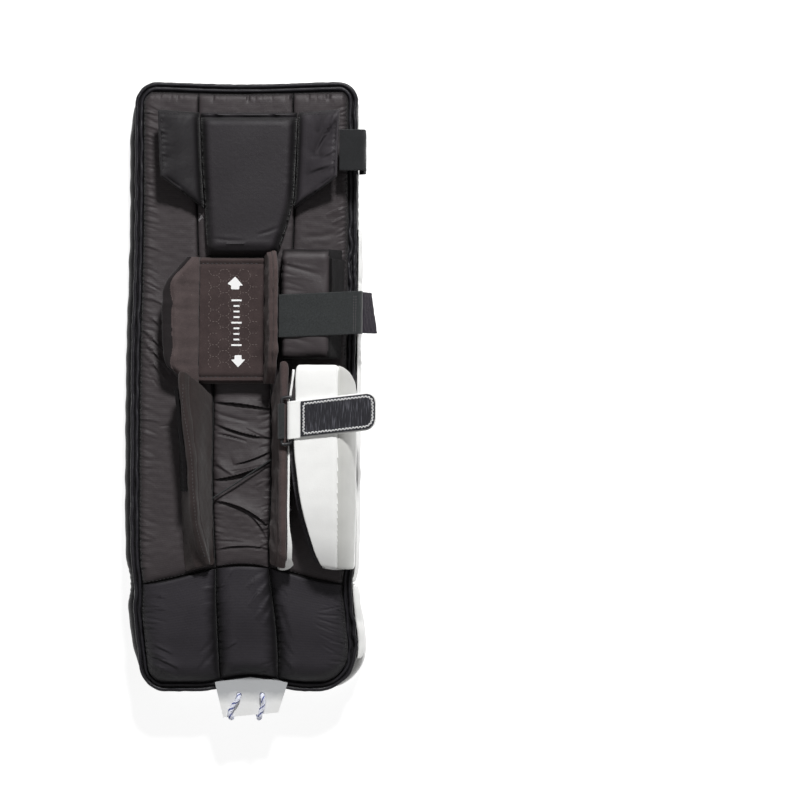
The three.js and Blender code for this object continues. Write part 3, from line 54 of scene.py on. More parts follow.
FILL_LIGHT = {"place": (-1.2, -1.0, 3.4), "size": 2.5, "power": 8}
WORLD_STRENGTH = 0.2
FLOOR_HALF = 6
FLOOR_LEVEL = -0.0005
FLOOR_GREY = 0.32
FLOOR_GLOW = 0.86

# Photograph: its middle pixel, the layout place there, its scale at the rim, the camera's height over the
# floor and its height over the rim
PHOTO_MIDDLE = 400
PHOTO_ORIGIN = (181, -16.2)
MM_PER_PIXEL = 1.16
PHOTO_DISTANCE = 3000
RIM_DISTANCE = 2938

MM = 0.001
SIGNS = {"lateral": -1, "medial": 1}

# Body: its size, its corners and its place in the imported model
PAD_LENGTH = 708
PAD_WIDTH = 263
HALF_LENGTH = PAD_LENGTH / 2
HALF_WIDTH = PAD_WIDTH / 2
ROW_ORIGIN = (6.762, -17.357)
THIGH_CORNERS = {"lateral": 27, "medial": 22}
TOE_CORNERS = {"lateral": 30, "medial": 42}

# Profile: where the face bends and how far it rises at the boot break
BREAK_RISE = 22
KNEE_BREAK = 165
BOOT_BREAK = -221
BREAK_SPREAD = 42
TOE_FLAT = 40

# Layers of the body, from the face up
GAP = 0.35
FACE_THICKNESS = 25
FACE_ROUNDING = 8
FACE_OVERHANG = 5
ROLL_RADIUS = 12
ROLL_END = 5
CORE_BOTTOM = 25.35
CORE_TOP = 55.85
CORE_BULGE = 0.8
PIPING_RADIUS = 2.5
LINER_BOTTOM = 56.2
LINER_THICKNESS = 12.5
BOOT_THICKNESS = 22
LINER_EDGE = 3
LINER_INSET = 10.7
DECK = 69.05
SEAM_WIDTH = 1.2
BOOT_PANEL_LENGTH = 92
BOOT_PANEL_THICKNESS = 9
SIDE_PANEL_END = 183
SIDE_PANEL_THICKNESS = 5

# Ends: the notch at the toe, the dip at the thigh and the arch of the boot seam
TOE_NOTCH = 9.5
TOE_NOTCH_WIDTH = 136
TOE_NOTCH_SIDE = 8
THIGH_DIP = 3
BOOT_ARCH_MEAN = 4
BOOT_ARCH_SWING = 11
BOOT_ARCH_REACH = 110

# Thigh pad, wings and strap
THIGH_PAD_END = 317
THIGH_PAD_LENGTH = 167
THIGH_PAD_WIDTH = 115
THIGH_PAD_THICKNESS = 22
THIGH_PAD_SIDE = 6
WING_REACH = 48
WING_THICKNESS = 10
WING_GAP = 0.7
GUTTER = 0.4
WING_ROOT_THICKNESS = 19
WING_LIFT = 24
WING_LENGTH = 76
WING_ROOT_LENGTH = 112
THIGH_STRAP_CENTRE = THIGH_PAD_END - 46
THIGH_STRAP_WIDTH = 47
THIGH_STRAP_DROP = 52
STRAP_THICKNESS = 2.2

# Knee cradle, block and strap
CRADLE_END = 149.1
CRADLE_LENGTH = 146
CRADLE_WIDTH = 75
CRADLE_SIDE = -13
CRADLE_THICKNESS = 10
CRADLE_BASE = DECK + 5
CRADLE_REACH = {"lateral": 32, "medial": 8}
CRADLE_RISE = {"lateral": 27, "medial": 44}
CRADLE_SLANT = {"lateral": 0, "medial": 9}
BLOCK_START = 46.2
BLOCK_WIDTH = 54
BLOCK_LENGTH = 125
BLOCK_HEIGHT = 38
BLOCK_FOOT = 16
BLOCK_ROUNDING = 11
BLOCK_END = CRADLE_END + 8
BLOCK_PATCH_WIDTH = 48
KNEE_STRAP_CENTRE = CRADLE_END - 69
KNEE_STRAP_WIDTH = 49
KNEE_STRAP_SKEW = 2.6
KNEE_STRAP_DROP = 9
HONEYCOMB_SIDE = 7.7

# Calf wraps, up to the levels that the guard and the strap share with them
WRAP_END = -9.9
WRAP_LENGTH = 206
WRAP_SLANT = {"lateral": 27, "medial": 39}
WRAP_ROOT = {"lateral": 35, "medial": 16}
WRAP_LEAN = {"lateral": 14, "medial": 9}
WRAP_TIP = 9
WRAP_PATCH_LENGTH = 96
WRAP_PATCH_HEIGHT = 30
PLATE_HEIGHT = 36
RIVET_ALONG = 0.64
CORD_ALONG = (0.58, 0.36)
WALL_FOOT = 61.55
GUARD_TOP = WALL_FOOT + 64
BAR_RADIUS = 2
BAR_LEVEL = GUARD_TOP - BAR_RADIUS
TAB_THICKNESS = 2.6
STRAP_FOLD = BAR_RADIUS + GAP + TAB_THICKNESS / 2
WRAP_CROWN = BAR_LEVEL - STRAP_FOLD - TAB_THICKNESS / 2 - GAP
WRAP_HEIGHT = WRAP_CROWN - WRAP_TIP / 2 - DECK

# Calf guard and the strap over it
GUARD_LENGTH = 229
GUARD_END = WRAP_END + 36
GUARD_REACH = 65
GUARD_HEIGHT = 64
GUARD_THICKNESS = 12
GUARD_BEVEL = 15.5
GUARD_BEND = 7
GUARD_SLANT = 34
LINING_LENGTH = 184
LINING_THICKNESS = 2.5
GUARD_WALL = HALF_WIDTH - LINER_INSET + GAP + GUARD_THICKNESS / 2
TAB_WIDTH = 43
TAB_LENGTH = 103
TAB_CENTRE = WRAP_END - 29
TAB_SKEW = 6.5
TAB_CORNER = 13
KEEPER_OPENING = 7

# Toe bridge and lace. Where the painted shadow on the bridge lies is in metres in the imported frame
BRIDGE_LENGTH = 36
BRIDGE_THICKNESS = 3
BRIDGE_SLOPE = 8
BRIDGE_SHADOW_FROM = -0.330
BRIDGE_LIT_UNTIL = -0.344
LACE_RADIUS = 2.4
LACE_SPACING = 27


def table(columns, rows):
    """Rows as dictionaries whose keys are the column names."""
    return [dict(zip(columns.split(), row)) for row in rows]


# Sides of the back edge: shares of half the length and of half the width
OUTLINE_ROWS = table("along lateral medial", [
    (1, 0.962, 1),
    (0.5, 0.966, 1),
    (0.1, 0.99, 0.988),
    (-0.4, 0.992, 0.981),
    (-0.56, 0.981, 0.973),
    (-0.63, 0.958, 0.951),
    (-0.72, 0.97, 0.966),
    (-0.85, 0.943, 0.996),
    (-1, 0.905, 0.96),
])

# Long seams between the liner columns: shares of half the length and of half the width
SEAM_ROWS = table("along lateral medial", [
    (1, 0.414, 0.433),
    (0.45, 0.414, 0.433),
    (0.05, 0.274, 0.259),
    (-0.3, 0.268, 0.25),
    (-0.58, 0.25, 0.235),
    (-0.8, 0.24, 0.292),
    (-1, 0.23, 0.31),
])

# Thigh pad's plan: share of its length from the thigh end, shares of half its width
THIGH_PAD_ROWS = table("along lateral medial", [
    (0, 1, 0.99),
    (0.35, 0.96, 0.95),
    (0.62, 0.91, 0.9),
    (0.8, 0.885, 0.77),
    (1, 0.84, 0.57),
])

# Knee cradle's wings: share of its length from the thigh end, shares of each wing's reach
CRADLE_ROWS = table("along lateral medial", [
    (0, 0.18, 0.62),
    (0.09, 0.5, 0.9),
    (0.18, 0.84, 1),
    (0.3, 1, 1),
    (0.72, 0.95, 1),
    (0.86, 0.82, 0.86),
    (0.94, 0.5, 0.66),
    (1, 0.16, 0.4),
])

# Calf wraps: share of their length from the thigh end; height and lean are shares of the full ones
WRAP_ROWS = {
    "lateral": table("along height lean", [
        (0, 0.94, 1),
        (0.06, 1, 1),
        (0.2, 1, 0.6),
        (0.36, 1, 0.22),
        (0.56, 0.97, 0.08),
        (0.74, 0.8, -0.06),
        (0.88, 0.5, -0.36),
        (1, 0.2, -0.7),
    ]),
    "medial": table("along height lean", [
        (0, 0.9, 0.9),
        (0.06, 1, 1),
        (0.35, 1, 0.8),
        (0.6, 1, 0.85),
        (0.8, 0.95, 1.05),
        (0.93, 0.74, 1),
        (1, 0.4, 0.8),
    ]),
}

# Calf guard: share of its length from the thigh end, then shares of its reach and of its height
GUARD_ROWS = table("along reach height", [
    (0, 0.93, 0.97),
    (0.03, 0.97, 1),
    (0.2, 0.98, 1),
    (0.4, 1, 1),
    (0.53, 0.96, 1),
    (0.65, 0.9, 0.98),
    (0.76, 0.82, 0.93),
    (0.86, 0.72, 0.84),
    (0.94, 0.62, 0.72),
    (1, 0.5, 0.6),
])


# Camera, light and floor

def make_camera():
    """Straight down, off to the side as in the photograph."""
    camera = bpy.data.cameras.new("camera")
    camera.lens = CAMERA_LENS
    camera.sensor_width = SENSOR_WIDTH
    camera.clip_end = 20
    seen = bpy.data.objects.new("camera", camera)
    seen.location = CAMERA_PLACE
    bpy.context.scene.collection.objects.link(seen)
    bpy.context.scene.camera = seen


def make_light(name, place, size, power):
    lamp = bpy.data.lights.new(name, "AREA")
    lamp.shape = "DISK"
    lamp.size = size
    lamp.energy = power
    light = bpy.data.objects.new(name, lamp)
    light.location = place
    light.rotation_euler = (Vector(LIGHT_TARGET) - Vector(place)).to_track_quat("-Z", "Y").to_euler()
    bpy.context.scene.collection.objects.link(light)


def make_studio():
    bpy.context.scene.view_settings.view_transform = "Standard"
    make_light("key", **KEY_LIGHT)
    make_light("fill", **FILL_LIGHT)
    world = bpy.data.worlds.new("studio")
    world.use_nodes = True
    background = world.node_tree.nodes["Background"]
    background.inputs["Color"].default_value = (1, 1, 1, 1)
    background.inputs["Strength"].default_value = WORLD_STRENGTH
    bpy.context.scene.world = world
    floor_mesh = bpy.data.meshes.new("floor")
    corners = [(x * FLOOR_HALF, y * FLOOR_HALF, 0) for x, y in ((-1, -1), (1, -1), (1, 1), (-1, 1))]
    floor_mesh.from_pydata(corners, [], [(0, 1, 2, 3)])
    floor = bpy.data.objects.new("floor", floor_mesh)
    floor.location.z = FLOOR_LEVEL
    bpy.context.scene.collection.objects.link(floor)
    paper = bpy.data.materials.new("floor_paper")
    paper.use_nodes = True
    shader = paper.node_tree.nodes["Principled BSDF"]
    shader.inputs["Base Color"].default_value = (FLOOR_GREY, FLOOR_GREY, FLOOR_GREY, 1)
    shader.inputs["Roughness"].default_value = 0.9
    shader.inputs["Emission Color"].default_value = (1, 1, 1, 1)
    shader.inputs["Emission Strength"].default_value = FLOOR_GLOW
    floor_mesh.materials.append(paper)


# Shape of the pad

def read_rows(rows, column, along):
    """Smooth reading of one column of a table whose rows run up or down in "along"."""
    table = sorted(rows, key=lambda row: row["along"])
    at = np.array([row["along"] for row in table], float)
    values = np.array([row[column] for row in table], float)
    before = np.maximum(np.arange(len(at)) - 1, 0)
    after = np.minimum(np.arange(len(at)) + 1, len(at) - 1)
    slopes = (values[after] - values[before]) / (at[after] - at[before])
    along = np.clip(np.asarray(along, float), at[0], at[-1])
    i = np.clip(np.searchsorted(at, along, side="right") - 1, 0, len(at) - 2)
    span = at[i + 1] - at[i]
    t = (along - at[i]) / span
    return (
        (2 * t**3 - 3 * t**2 + 1) * values[i]
        + (t**3 - 2 * t**2 + t) * span * slopes[i]
        + (3 * t**2 - 2 * t**3) * values[i + 1]
        + (t**3 - t**2) * span * slopes[i + 1]
    )


def bump(distance, width):
    """1 at 0, falling to 0 at half the width."""
    share = np.minimum(np.abs(distance) / (width / 2), 1)
    return np.cos(share * math.pi / 2) ** 2


def smoothstep(value, low, high):
    t = np.clip((value - low) / (high - low), 0, 1)
    return t * t * (3 - 2 * t)


def lift(y):
    """Height of the face over the floor."""
    places = [-HALF_LENGTH, -HALF_LENGTH + TOE_FLAT, BOOT_BREAK, KNEE_BREAK, HALF_LENGTH]
    heights = [0, 0, BREAK_RISE, 0, 0]
    samples = 12
    total = 0
    for k in range(samples):
        total = total + np.interp(y + BREAK_SPREAD * ((2 * k + 1) / samples - 1), places, heights)
    return total / samples


def shape_pad(points):
    """Points of the flat layout at the pad's real outline and profile."""
    x, y, z = np.moveaxis(np.asarray(points, float), -1, 0)
    side = np.where(
        x < 0,
        read_rows(OUTLINE_ROWS, "lateral", y / HALF_LENGTH),
        read_rows(OUTLINE_ROWS, "medial", y / HALF_LENGTH),
    )
    arch = BOOT_ARCH_MEAN + BOOT_ARCH_SWING * np.cos(math.pi * x / HALF_WIDTH)
    notch = TOE_NOTCH * bump(x - TOE_NOTCH_SIDE, TOE_NOTCH_WIDTH)
    shift = (
        bump(y + HALF_LENGTH, BOOT_ARCH_REACH) * notch
        - bump(y - HALF_LENGTH, BOOT_ARCH_REACH) * THIGH_DIP * bump(x, PAD_WIDTH)
        + bump(y - BOOT_BREAK, 2 * BOOT_ARCH_REACH) * arch
    )
    return np.stack([x * side, y + shift, z + lift(y + shift)], axis=-1)


def to_row(points):
    """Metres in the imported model's frame."""
    return (shape_pad(points) - np.array([*ROW_ORIGIN, 0])) * MM


# Mesh building

def crown(distance, width):
    """Quarter round: 0 at an edge, 1 from the width on."""
    share = np.clip(distance / width, 0, 1)
    return np.sqrt(1 - (1 - share) ** 2)


def spaced(start, end, step, ease=(0.3, 0.8, 1.6, 2.6, 4, 5.8, 8, 10.6, 13.6, 17)):
    """Places from start to end: close together at both ends, a step apart between."""
    length = end - start
    near = [d for d in ease if d < 0.4 * length]
    inner_start = near[-1] if near else 0
    count = max(int((length - 2 * inner_start) / step), 2)
    middle = np.linspace(inner_start, length - inner_start, count + 1)[1:-1]
    distances = [0, *near, *middle, *[length - d for d in reversed(near)], length]
    return start + np.array(distances)


def rounded_corner(before, at, after, radius, steps):
    """Points of a curve in place of one corner of a path."""
    back, ahead = before - at, after - at
    back_run, ahead_run = np.linalg.norm(back), np.linalg.norm(ahead)
    cut = min(radius, 0.45 * back_run, 0.45 * ahead_run)
    start = at + back / max(back_run, 1e-9) * cut
    end = at + ahead / max(ahead_run, 1e-9) * cut
    shares = np.linspace(0, 1, steps + 1)
    return [(1 - t) ** 2 * start + 2 * t * (1 - t) * at + t * t * end for t in shares]


def fillet(section, radius, steps=4):
    """A closed section of few corners with each corner rounded."""
    corners = np.array(section, float)
    rounded = []
    for i, at in enumerate(corners):
        after = corners[(i + 1) % len(corners)]
        rounded += rounded_corner(corners[i - 1], at, after, radius, steps)
    return np.array(rounded)


def evenly(line, count, closed=True):
    """The same line with its points the same distance apart."""
    line = np.asarray(line, float)
    path = np.vstack([line, line[:1]]) if closed else line
    runs = np.linalg.norm(np.diff(path, axis=0), axis=1)
    at = np.concatenate([[0], np.cumsum(runs)])
    wanted = np.linspace(0, at[-1], count + 1)[:-1] if closed else np.linspace(0, at[-1], count)
    return np.stack([np.interp(wanted, at, path[:, k]) for k in range(path.shape[1])], axis=1)


def rings_of(places, section_at, count=None, radius=0):
    """Rings across the pad, one for each place along it, from sections in X and Z."""
    rings = []
    for y in places:
        section = np.array(section_at(y), float)
        if radius:
            section = fillet(section, radius)
        if count:
            section = evenly(section, count)
        rings.append(np.column_stack([section[:, 0], np.full(len(section), y), section[:, 1]]))
    return np.array(rings)


def pillow(rings, radius):
    """Rounds both ends of a solid: its rings draw in within the radius of each end."""
    shaped = rings.copy()
    places = rings[:, 0, 1]
    for i, y in enumerate(places):
        from_end = min(y - places[0], places[-1] - y)
        inset = radius * (1 - crown(from_end, radius))
        for axis in (0, 2):
            low, high = rings[i, :, axis].min(), rings[i, :, axis].max()
            middle, half = (low + high) / 2, (high - low) / 2
            share = max(half - inset, half * 0.2) / half
            shaped[i, :, axis] = middle + (rings[i, :, axis] - middle) * share
    return shaped


def swollen(rings, amount):
    """Rings moved along their outward normals by an amount for each point."""
    along = np.gradient(rings, axis=0)
    around = np.roll(rings, -1, axis=1) - np.roll(rings, 1, axis=1)
    normals = np.cross(along, around)
    normals /= np.maximum(np.linalg.norm(normals, axis=2, keepdims=True), 1e-9)
    outward = rings - rings.mean(axis=1, keepdims=True)
    if (normals * outward).sum() < 0:
        normals = -normals
    return rings + normals * np.asarray(amount)[..., None]


def loft(rings, looped=False):
    """Faces through equal rings, with real lengths in millimetres as texture coordinates."""
    count, around = rings.shape[:2]
    points = rings.reshape(-1, 3)
    girth = np.linalg.norm(np.roll(rings, -1, axis=1) - rings, axis=2).mean(axis=0)
    u = np.concatenate([[0], np.cumsum(girth)])
    steps = np.linalg.norm(np.roll(rings, -1, axis=0) - rings, axis=2).mean(axis=1)
    v = np.concatenate([[0], np.cumsum(steps)])
    faces, corners = [], []
    for i in range(count if looped else count - 1):
        ahead = (i + 1) % count
        for j in range(around):
            beside = (j + 1) % around
            faces.append((i * around + j, i * around + beside, ahead * around + beside, ahead * around + j))
            corners += [(u[j], v[i]), (u[j + 1], v[i]), (u[j + 1], v[i + 1]), (u[j], v[i + 1])]
    if not looped:
        for ring, order in ((0, -1), (count - 1, 1)):
            face = [ring * around + j for j in range(around)][::order]
            faces.append(face)
            corners += [tuple(points[k][[0, 2]]) for k in face]
    return points, faces, corners


def add_piece(name, solid, material, nodes=(), shaped=True, sharp=50):
    """A named mesh that rides on the pad. Nodes are the CAD pieces that it stands for."""
    points, faces, corners = solid
    mesh = bpy.data.meshes.new(name)
    placed = to_row(points) if shaped else np.asarray(points, float)
    mesh.from_pydata(placed.tolist(), [], faces)
    layer = mesh.uv_layers.new(name="cloth")
    layer.data.foreach_set("uv", (np.array(corners, np.float32) * MM).ravel())
    work = bmesh.new()
    work.from_mesh(mesh)
    bmesh.ops.recalc_face_normals(work, faces=work.faces)
    work.to_mesh(mesh)
    work.free()
    mesh.shade_smooth()
    mesh.set_sharp_from_angle(angle=math.radians(sharp))
    mesh.materials.append(material)
    piece = bpy.data.objects.new(name, mesh)
    bpy.context.scene.collection.objects.link(piece)
    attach(piece, "root")
    if nodes:
        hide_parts(*nodes)
    return piece


def add_part(name, rings, look, looped=False):
    """The visible form of the CAD piece of the same name."""
    return add_piece(name, loft(rings, looped), LOOKS[look], [name])


def second_look(piece, look, chosen):
    """Gives the faces whose corners are all chosen another look."""
    piece.data.materials.append(LOOKS[look])
    for face in piece.data.polygons:
        if all(chosen[k] for k in face.vertices):
            face.material_index = 1


# Creases

def crease_relief(x, y, creases):
    """Height of sewn-in creases. Each crease runs from its root to its tip and fades there."""
    total = np.zeros(np.broadcast(x, y).shape)
    for c in creases:
        dx, dy = c["tip"][0] - c["root"][0], c["tip"][1] - c["root"][1]
        length = math.hypot(dx, dy)
        t = ((x - c["root"][0]) * dx + (y - c["root"][1]) * dy) / length**2
        bow = c["bow"] * 4 * t * (1 - t)
        away = ((x - c["root"][0]) * dy - (y - c["root"][1]) * dx) / length - bow
        width = c["width"] * (1 + c.get("spread", 0) * np.clip(t, 0, 1))
        inside = np.clip(t, 0, 1)
        if c.get("free"):
            fade = np.sin(math.pi * inside) ** 0.6
        else:
            fade = (1 - inside) ** 0.8 * smoothstep(t, -0.15, 0.05)
        if c["lap"]:
            slow, fast = width * c["lap"], width * 0.7
            rise = np.exp(np.minimum(away, 0) / slow)
            fall = 1.4 * np.exp(-((away / fast) ** 2)) - 0.4 * np.exp(-((away / (3 * fast)) ** 2))
            profile = -np.where(away < 0, rise, fall)
        else:
            profile = np.exp(-((away / width) ** 2)) - 0.42 * np.exp(-((away / (2.4 * width)) ** 2))
        total -= c["depth"] * fade * profile
    return total


def gathers(edge, start, end, pitch, reach, depth, inward, seed, tilt=0.0):
    """Short creases along a sewn edge, from the edge inwards."""
    random = np.random.default_rng(seed)
    creases = []
    y = start
    while y < end:
        length = reach * random.uniform(0.45, 1.5)
        x = float(edge(y))
        drift = length * (tilt + random.uniform(-0.22, 0.22))
        creases.append({
            "root": (x, y),
            "tip": (x + inward * length, y + drift),
            "width": pitch * random.uniform(0.15, 0.24),
            "spread": random.uniform(0.3, 1.1),
            "depth": depth * random.uniform(0.4, 1.25),
            "bow": random.uniform(-0.06, 0.06) * length,
            "lap": 2.4 if random.random() < 0.45 else 0,
        })
        y += pitch * random.uniform(0.55, 1.35)
    return creases


def ripple(x, y, size, seed):
    """Gentle uneven waves of about the given size, of height about 1."""
    random = np.random.default_rng(seed)
    count = 7
    total = 0
    for _ in range(count):
        angle, length = random.uniform(0, math.pi), size * random.uniform(0.7, 1.6)
        phase = random.uniform(0, 2 * math.pi)
        total = total + np.sin(2 * math.pi * (x * math.cos(angle) + y * math.sin(angle)) / length + phase)
    return total / math.sqrt(count)


# Materials

def new_look(name, colour, roughness, specular=0.5):
    """A material with its shader, ready for texture nodes."""
    material = bpy.data.materials.new(name)
    material.use_nodes = True
    shader = material.node_tree.nodes["Principled BSDF"]
    shader.inputs["Base Color"].default_value = (*colour, 1)
    shader.inputs["Roughness"].default_value = roughness
    shader.inputs["Specular IOR Level"].default_value = specular
    return material, material.node_tree, shader


def place_socket(tree, kind):
    return tree.nodes.new("ShaderNodeTexCoord").outputs[kind]


def noise(tree, size, detail=4, roughness=0.6, coordinate="Object", stretch=(1, 1, 1)):
    """Noise with spots of about the given size in millimetres."""
    node = tree.nodes.new("ShaderNodeTexNoise")
    node.inputs["Scale"].default_value = 1 / (size * MM)
    node.inputs["Detail"].default_value = detail
    node.inputs["Roughness"].default_value = roughness
    mapping = tree.nodes.new("ShaderNodeMapping")
    mapping.inputs["Scale"].default_value = stretch
    tree.links.new(place_socket(tree, coordinate), mapping.inputs["Vector"])
    tree.links.new(mapping.outputs["Vector"], node.inputs["Vector"])
    return node.outputs["Fac"]


def cells(tree, size, coordinate="Object"):
    node = tree.nodes.new("ShaderNodeTexVoronoi")
    node.inputs["Scale"].default_value = 1 / (size * MM)
    tree.links.new(place_socket(tree, coordinate), node.inputs["Vector"])
    return node.outputs["Distance"]


def ribs(tree, period, direction, wobble=0.0):
    """Bands of the given period in millimetres, along U ("X") or V ("Y") of the cloth."""
    wobble_size = 6
    node = tree.nodes.new("ShaderNodeTexWave")
    node.bands_direction = direction
    node.inputs["Scale"].default_value = math.pi / (10 * period * MM)
    node.inputs["Distortion"].default_value = wobble
    node.inputs["Detail"].default_value = 2
    node.inputs["Detail Scale"].default_value = 1 / (wobble_size * MM * node.inputs["Scale"].default_value)
    tree.links.new(place_socket(tree, "UV"), node.inputs["Vector"])
    return node.outputs["Fac"]


def maths(tree, operation, first, second):
    node = tree.nodes.new("ShaderNodeMath")
    node.operation = operation
    for socket, value in zip(node.inputs, (first, second)):
        if isinstance(value, (int, float)):
            socket.default_value = value
        else:
            tree.links.new(value, socket)
    return node.outputs[0]


def weighed(tree, first, share, second, other_share):
    """The sum of two values, each times its share."""
    return maths(
        tree, "ADD", maths(tree, "MULTIPLY", first, share), maths(tree, "MULTIPLY", second, other_share)
    )


def remap(tree, value, low, high, to_low=0.0, to_high=1.0):
    node = tree.nodes.new("ShaderNodeMapRange")
    node.inputs["From Min"].default_value = low
    node.inputs["From Max"].default_value = high
    node.inputs["To Min"].default_value = to_low
    node.inputs["To Max"].default_value = to_high
    tree.links.new(value, node.inputs["Value"])
    return node.outputs["Result"]


def tint(tree, factor, first, second):
    """A colour between two: each is a colour or a socket."""
    node = tree.nodes.new("ShaderNodeMix")
    node.data_type = "RGBA"
    tree.links.new(factor, node.inputs["Factor"])
    for name, value in (("A", first), ("B", second)):
        socket = next(s for s in node.inputs if s.name == name and s.type == "RGBA")
        if isinstance(value, tuple):
            socket.default_value = (*value, 1)
        else:
            tree.links.new(value, socket)
    return next(s for s in node.outputs if s.type == "RGBA")


def drive(tree, shader, socket, value):
    tree.links.new(value, shader.inputs[socket])


def relief(tree, shader, *layers):
    """Bumps from several heights, each with its depth in millimetres."""
    before = None
    for height, depth in layers:
        node = tree.nodes.new("ShaderNodeBump")
        node.inputs["Distance"].default_value = depth * MM
        tree.links.new(height, node.inputs["Height"])
        if before is not None:
            tree.links.new(before, node.inputs["Normal"])
        before = node.outputs["Normal"]
    tree.links.new(before, shader.inputs["Normal"])


def nylon_look(name, dark, light, rib=2.3, gloss=0.5, ribbed=0.3):
    """Coated nylon: a fine weave, faint cross ribs, a satin shine, and painted shade on its steep sides where
    it sinks into a seam.
    """
    material, tree, shader = new_look(name, dark, gloss, specular=0.27)
    shader.inputs["Sheen Weight"].default_value = 0.05
    shader.inputs["Sheen Roughness"].default_value = 0.4
    weave = maths(tree, "MULTIPLY", ribs(tree, 0.7, "X"), ribs(tree, 0.7, "Y"))
    cross = ribs(tree, rib, "Y", wobble=0.8)
    cloud = noise(tree, 30, detail=5)
    shade = weighed(tree, cross, ribbed, cloud, 1 - ribbed)
    # Painted shade: the colour darkens from level faces to steep ones, read from the surface normal
    slope = tree.nodes.new("ShaderNodeSeparateXYZ")
    tree.links.new(place_socket(tree, "Normal"), slope.inputs["Vector"])
    level = remap(tree, slope.outputs["Z"], 0.6, 0.96)
    steep_side_shade = tuple(value * 0.4 for value in dark)
    base = tint(tree, level, steep_side_shade, tint(tree, shade, dark, light))
    drive(tree, shader, "Base Color", base)
    drive(tree, shader, "Roughness", remap(tree, cloud, 0.3, 0.7, gloss - 0.06, gloss + 0.08))
    relief(tree, shader, (weave, 0.05), (cross, 0.08 * ribbed), (noise(tree, 5, detail=4), 0.3))
    return material


def suede_look(name, dark, light, fleck):
    """Brushed synthetic suede with a short nap and pale flecks."""
    material, tree, shader = new_look(name, dark, 0.95, specular=0.2)
    shader.inputs["Sheen Weight"].default_value = 0.12
    shader.inputs["Sheen Roughness"].default_value = 0.5
    nap = noise(tree, 1.1, detail=6, roughness=0.75)
    cloud = noise(tree, 16, detail=4)
    shade = weighed(tree, nap, 0.6, cloud, 0.4)
    base = tint(tree, remap(tree, shade, 0.3, 0.7), dark, light)
    specks = remap(tree, noise(tree, 1.6, detail=2, roughness=0.9), 0.68, 0.78)
    drive(tree, shader, "Base Color", tint(tree, specks, base, fleck))
    relief(tree, shader, (nap, 0.35), (cloud, 0.5))
    return material


def leather_look(name, colour, shaded):
    """Coated white leather: fine pores, faint stains and a soft gloss."""
    roughness = 0.42
    material, tree, shader = new_look(name, colour, roughness)
    shader.inputs["Coat Weight"].default_value = 0.12
    shader.inputs["Coat Roughness"].default_value = 0.35
    cloud = noise(tree, 45, detail=5)
    drive(tree, shader, "Base Color", tint(tree, remap(tree, cloud, 0.35, 0.75), colour, shaded))
    stains = noise(tree, 12, detail=4)
    drive(tree, shader, "Roughness", remap(tree, stains, 0.3, 0.7, roughness - 0.06, roughness + 0.1))
    relief(tree, shader, (cells(tree, 1.1), 0.05), (noise(tree, 7, detail=3), 0.12))
    return material


def shadowed_bridge_look(name, lit_colour, shadow_colour):
    """White leather with a painted shadow, from the boot's liner, where the bridge leaves the boot."""
    material, tree, shader = new_look(name, lit_colour, 0.45)
    parts = tree.nodes.new("ShaderNodeSeparateXYZ")
    tree.links.new(place_socket(tree, "Object"), parts.inputs["Vector"])
    uneven = maths(tree, "MULTIPLY", noise(tree, 14, detail=4), 12 * MM)
    along = maths(tree, "ADD", parts.outputs["Y"], uneven)
    # Painted shadow: grey next to the boot, white towards the bridge's free end
    amount = remap(tree, along, BRIDGE_LIT_UNTIL, BRIDGE_SHADOW_FROM)
    drive(tree, shader, "Base Color", tint(tree, amount, lit_colour, shadow_colour))
    relief(tree, shader, (cells(tree, 1.1), 0.05), (noise(tree, 7, detail=3), 0.2))
    return material


def webbing_look(name, dark, light):
    """Woven elastic: ribs across the band, fine threads along it, worn pale specks."""
    material, tree, shader = new_look(name, dark, 0.8, specular=0.3)
    shader.inputs["Sheen Weight"].default_value = 0.2
    rib = 1.2
    thread = ribs(tree, rib * 0.6, "X", wobble=0.6)
    rows = ribs(tree, rib, "Y", wobble=0.4)
    weave = maths(tree, "MULTIPLY", thread, rows)
    wear = noise(tree, 1.7, detail=5, roughness=0.8)
    shade = weighed(tree, weave, 0.3, wear, 0.8)
    drive(tree, shader, "Base Color", tint(tree, remap(tree, shade, 0.32, 0.7), dark, light))
    relief(tree, shader, (weave, 0.3), (wear, 0.15))
    return material


def hook_look(name, dark, light, fleck, rows=True, sheen=0.3):
    """Hook or loop tape: dense stiff hairs with stray pale ones."""
    material, tree, shader = new_look(name, dark, 0.92, specular=0.2)
    shader.inputs["Sheen Weight"].default_value = sheen
    hairs = noise(tree, 0.9, detail=6, roughness=0.85)
    stripes = noise(tree, 1.0, detail=3, coordinate="UV", stretch=(0.1, 1, 1)) if rows else hairs
    shade = weighed(tree, hairs, 0.5, stripes, 0.5)
    base = tint(tree, remap(tree, shade, 0.35, 0.7), dark, light)
    if rows:
        line = noise(tree, 0.85, detail=1, coordinate="UV", stretch=(0.045, 1, 1))
        base = tint(tree, remap(tree, line, 0.56, 0.7), base, fleck)
    stray = remap(tree, noise(tree, 1.3, detail=4, roughness=0.95), 0.66, 0.74)
    drive(tree, shader, "Base Color", tint(tree, stray, base, fleck))
    relief(tree, shader, (hairs, 0.7), (stripes, 0.4))
    return material


def plastic_look(name, colour, roughness):
    material, tree, shader = new_look(name, colour, roughness)
    grain = noise(tree, 0.8, detail=3)
    scuffs = noise(tree, 5, detail=6, roughness=0.7)
    drive(tree, shader, "Roughness", remap(tree, scuffs, 0.3, 0.7, roughness - 0.08, roughness + 0.12))
    relief(tree, shader, (grain, 0.03))
    return material


def metal_look(name):
    material, tree, shader = new_look(name, (0.62, 0.63, 0.65), 0.3)
    shader.inputs["Metallic"].default_value = 1
    brushed = noise(tree, 1.5, detail=5)
    drive(tree, shader, "Roughness", remap(tree, brushed, 0.3, 0.7, 0.22, 0.42))
    relief(tree, shader, (brushed, 0.02))
    return material


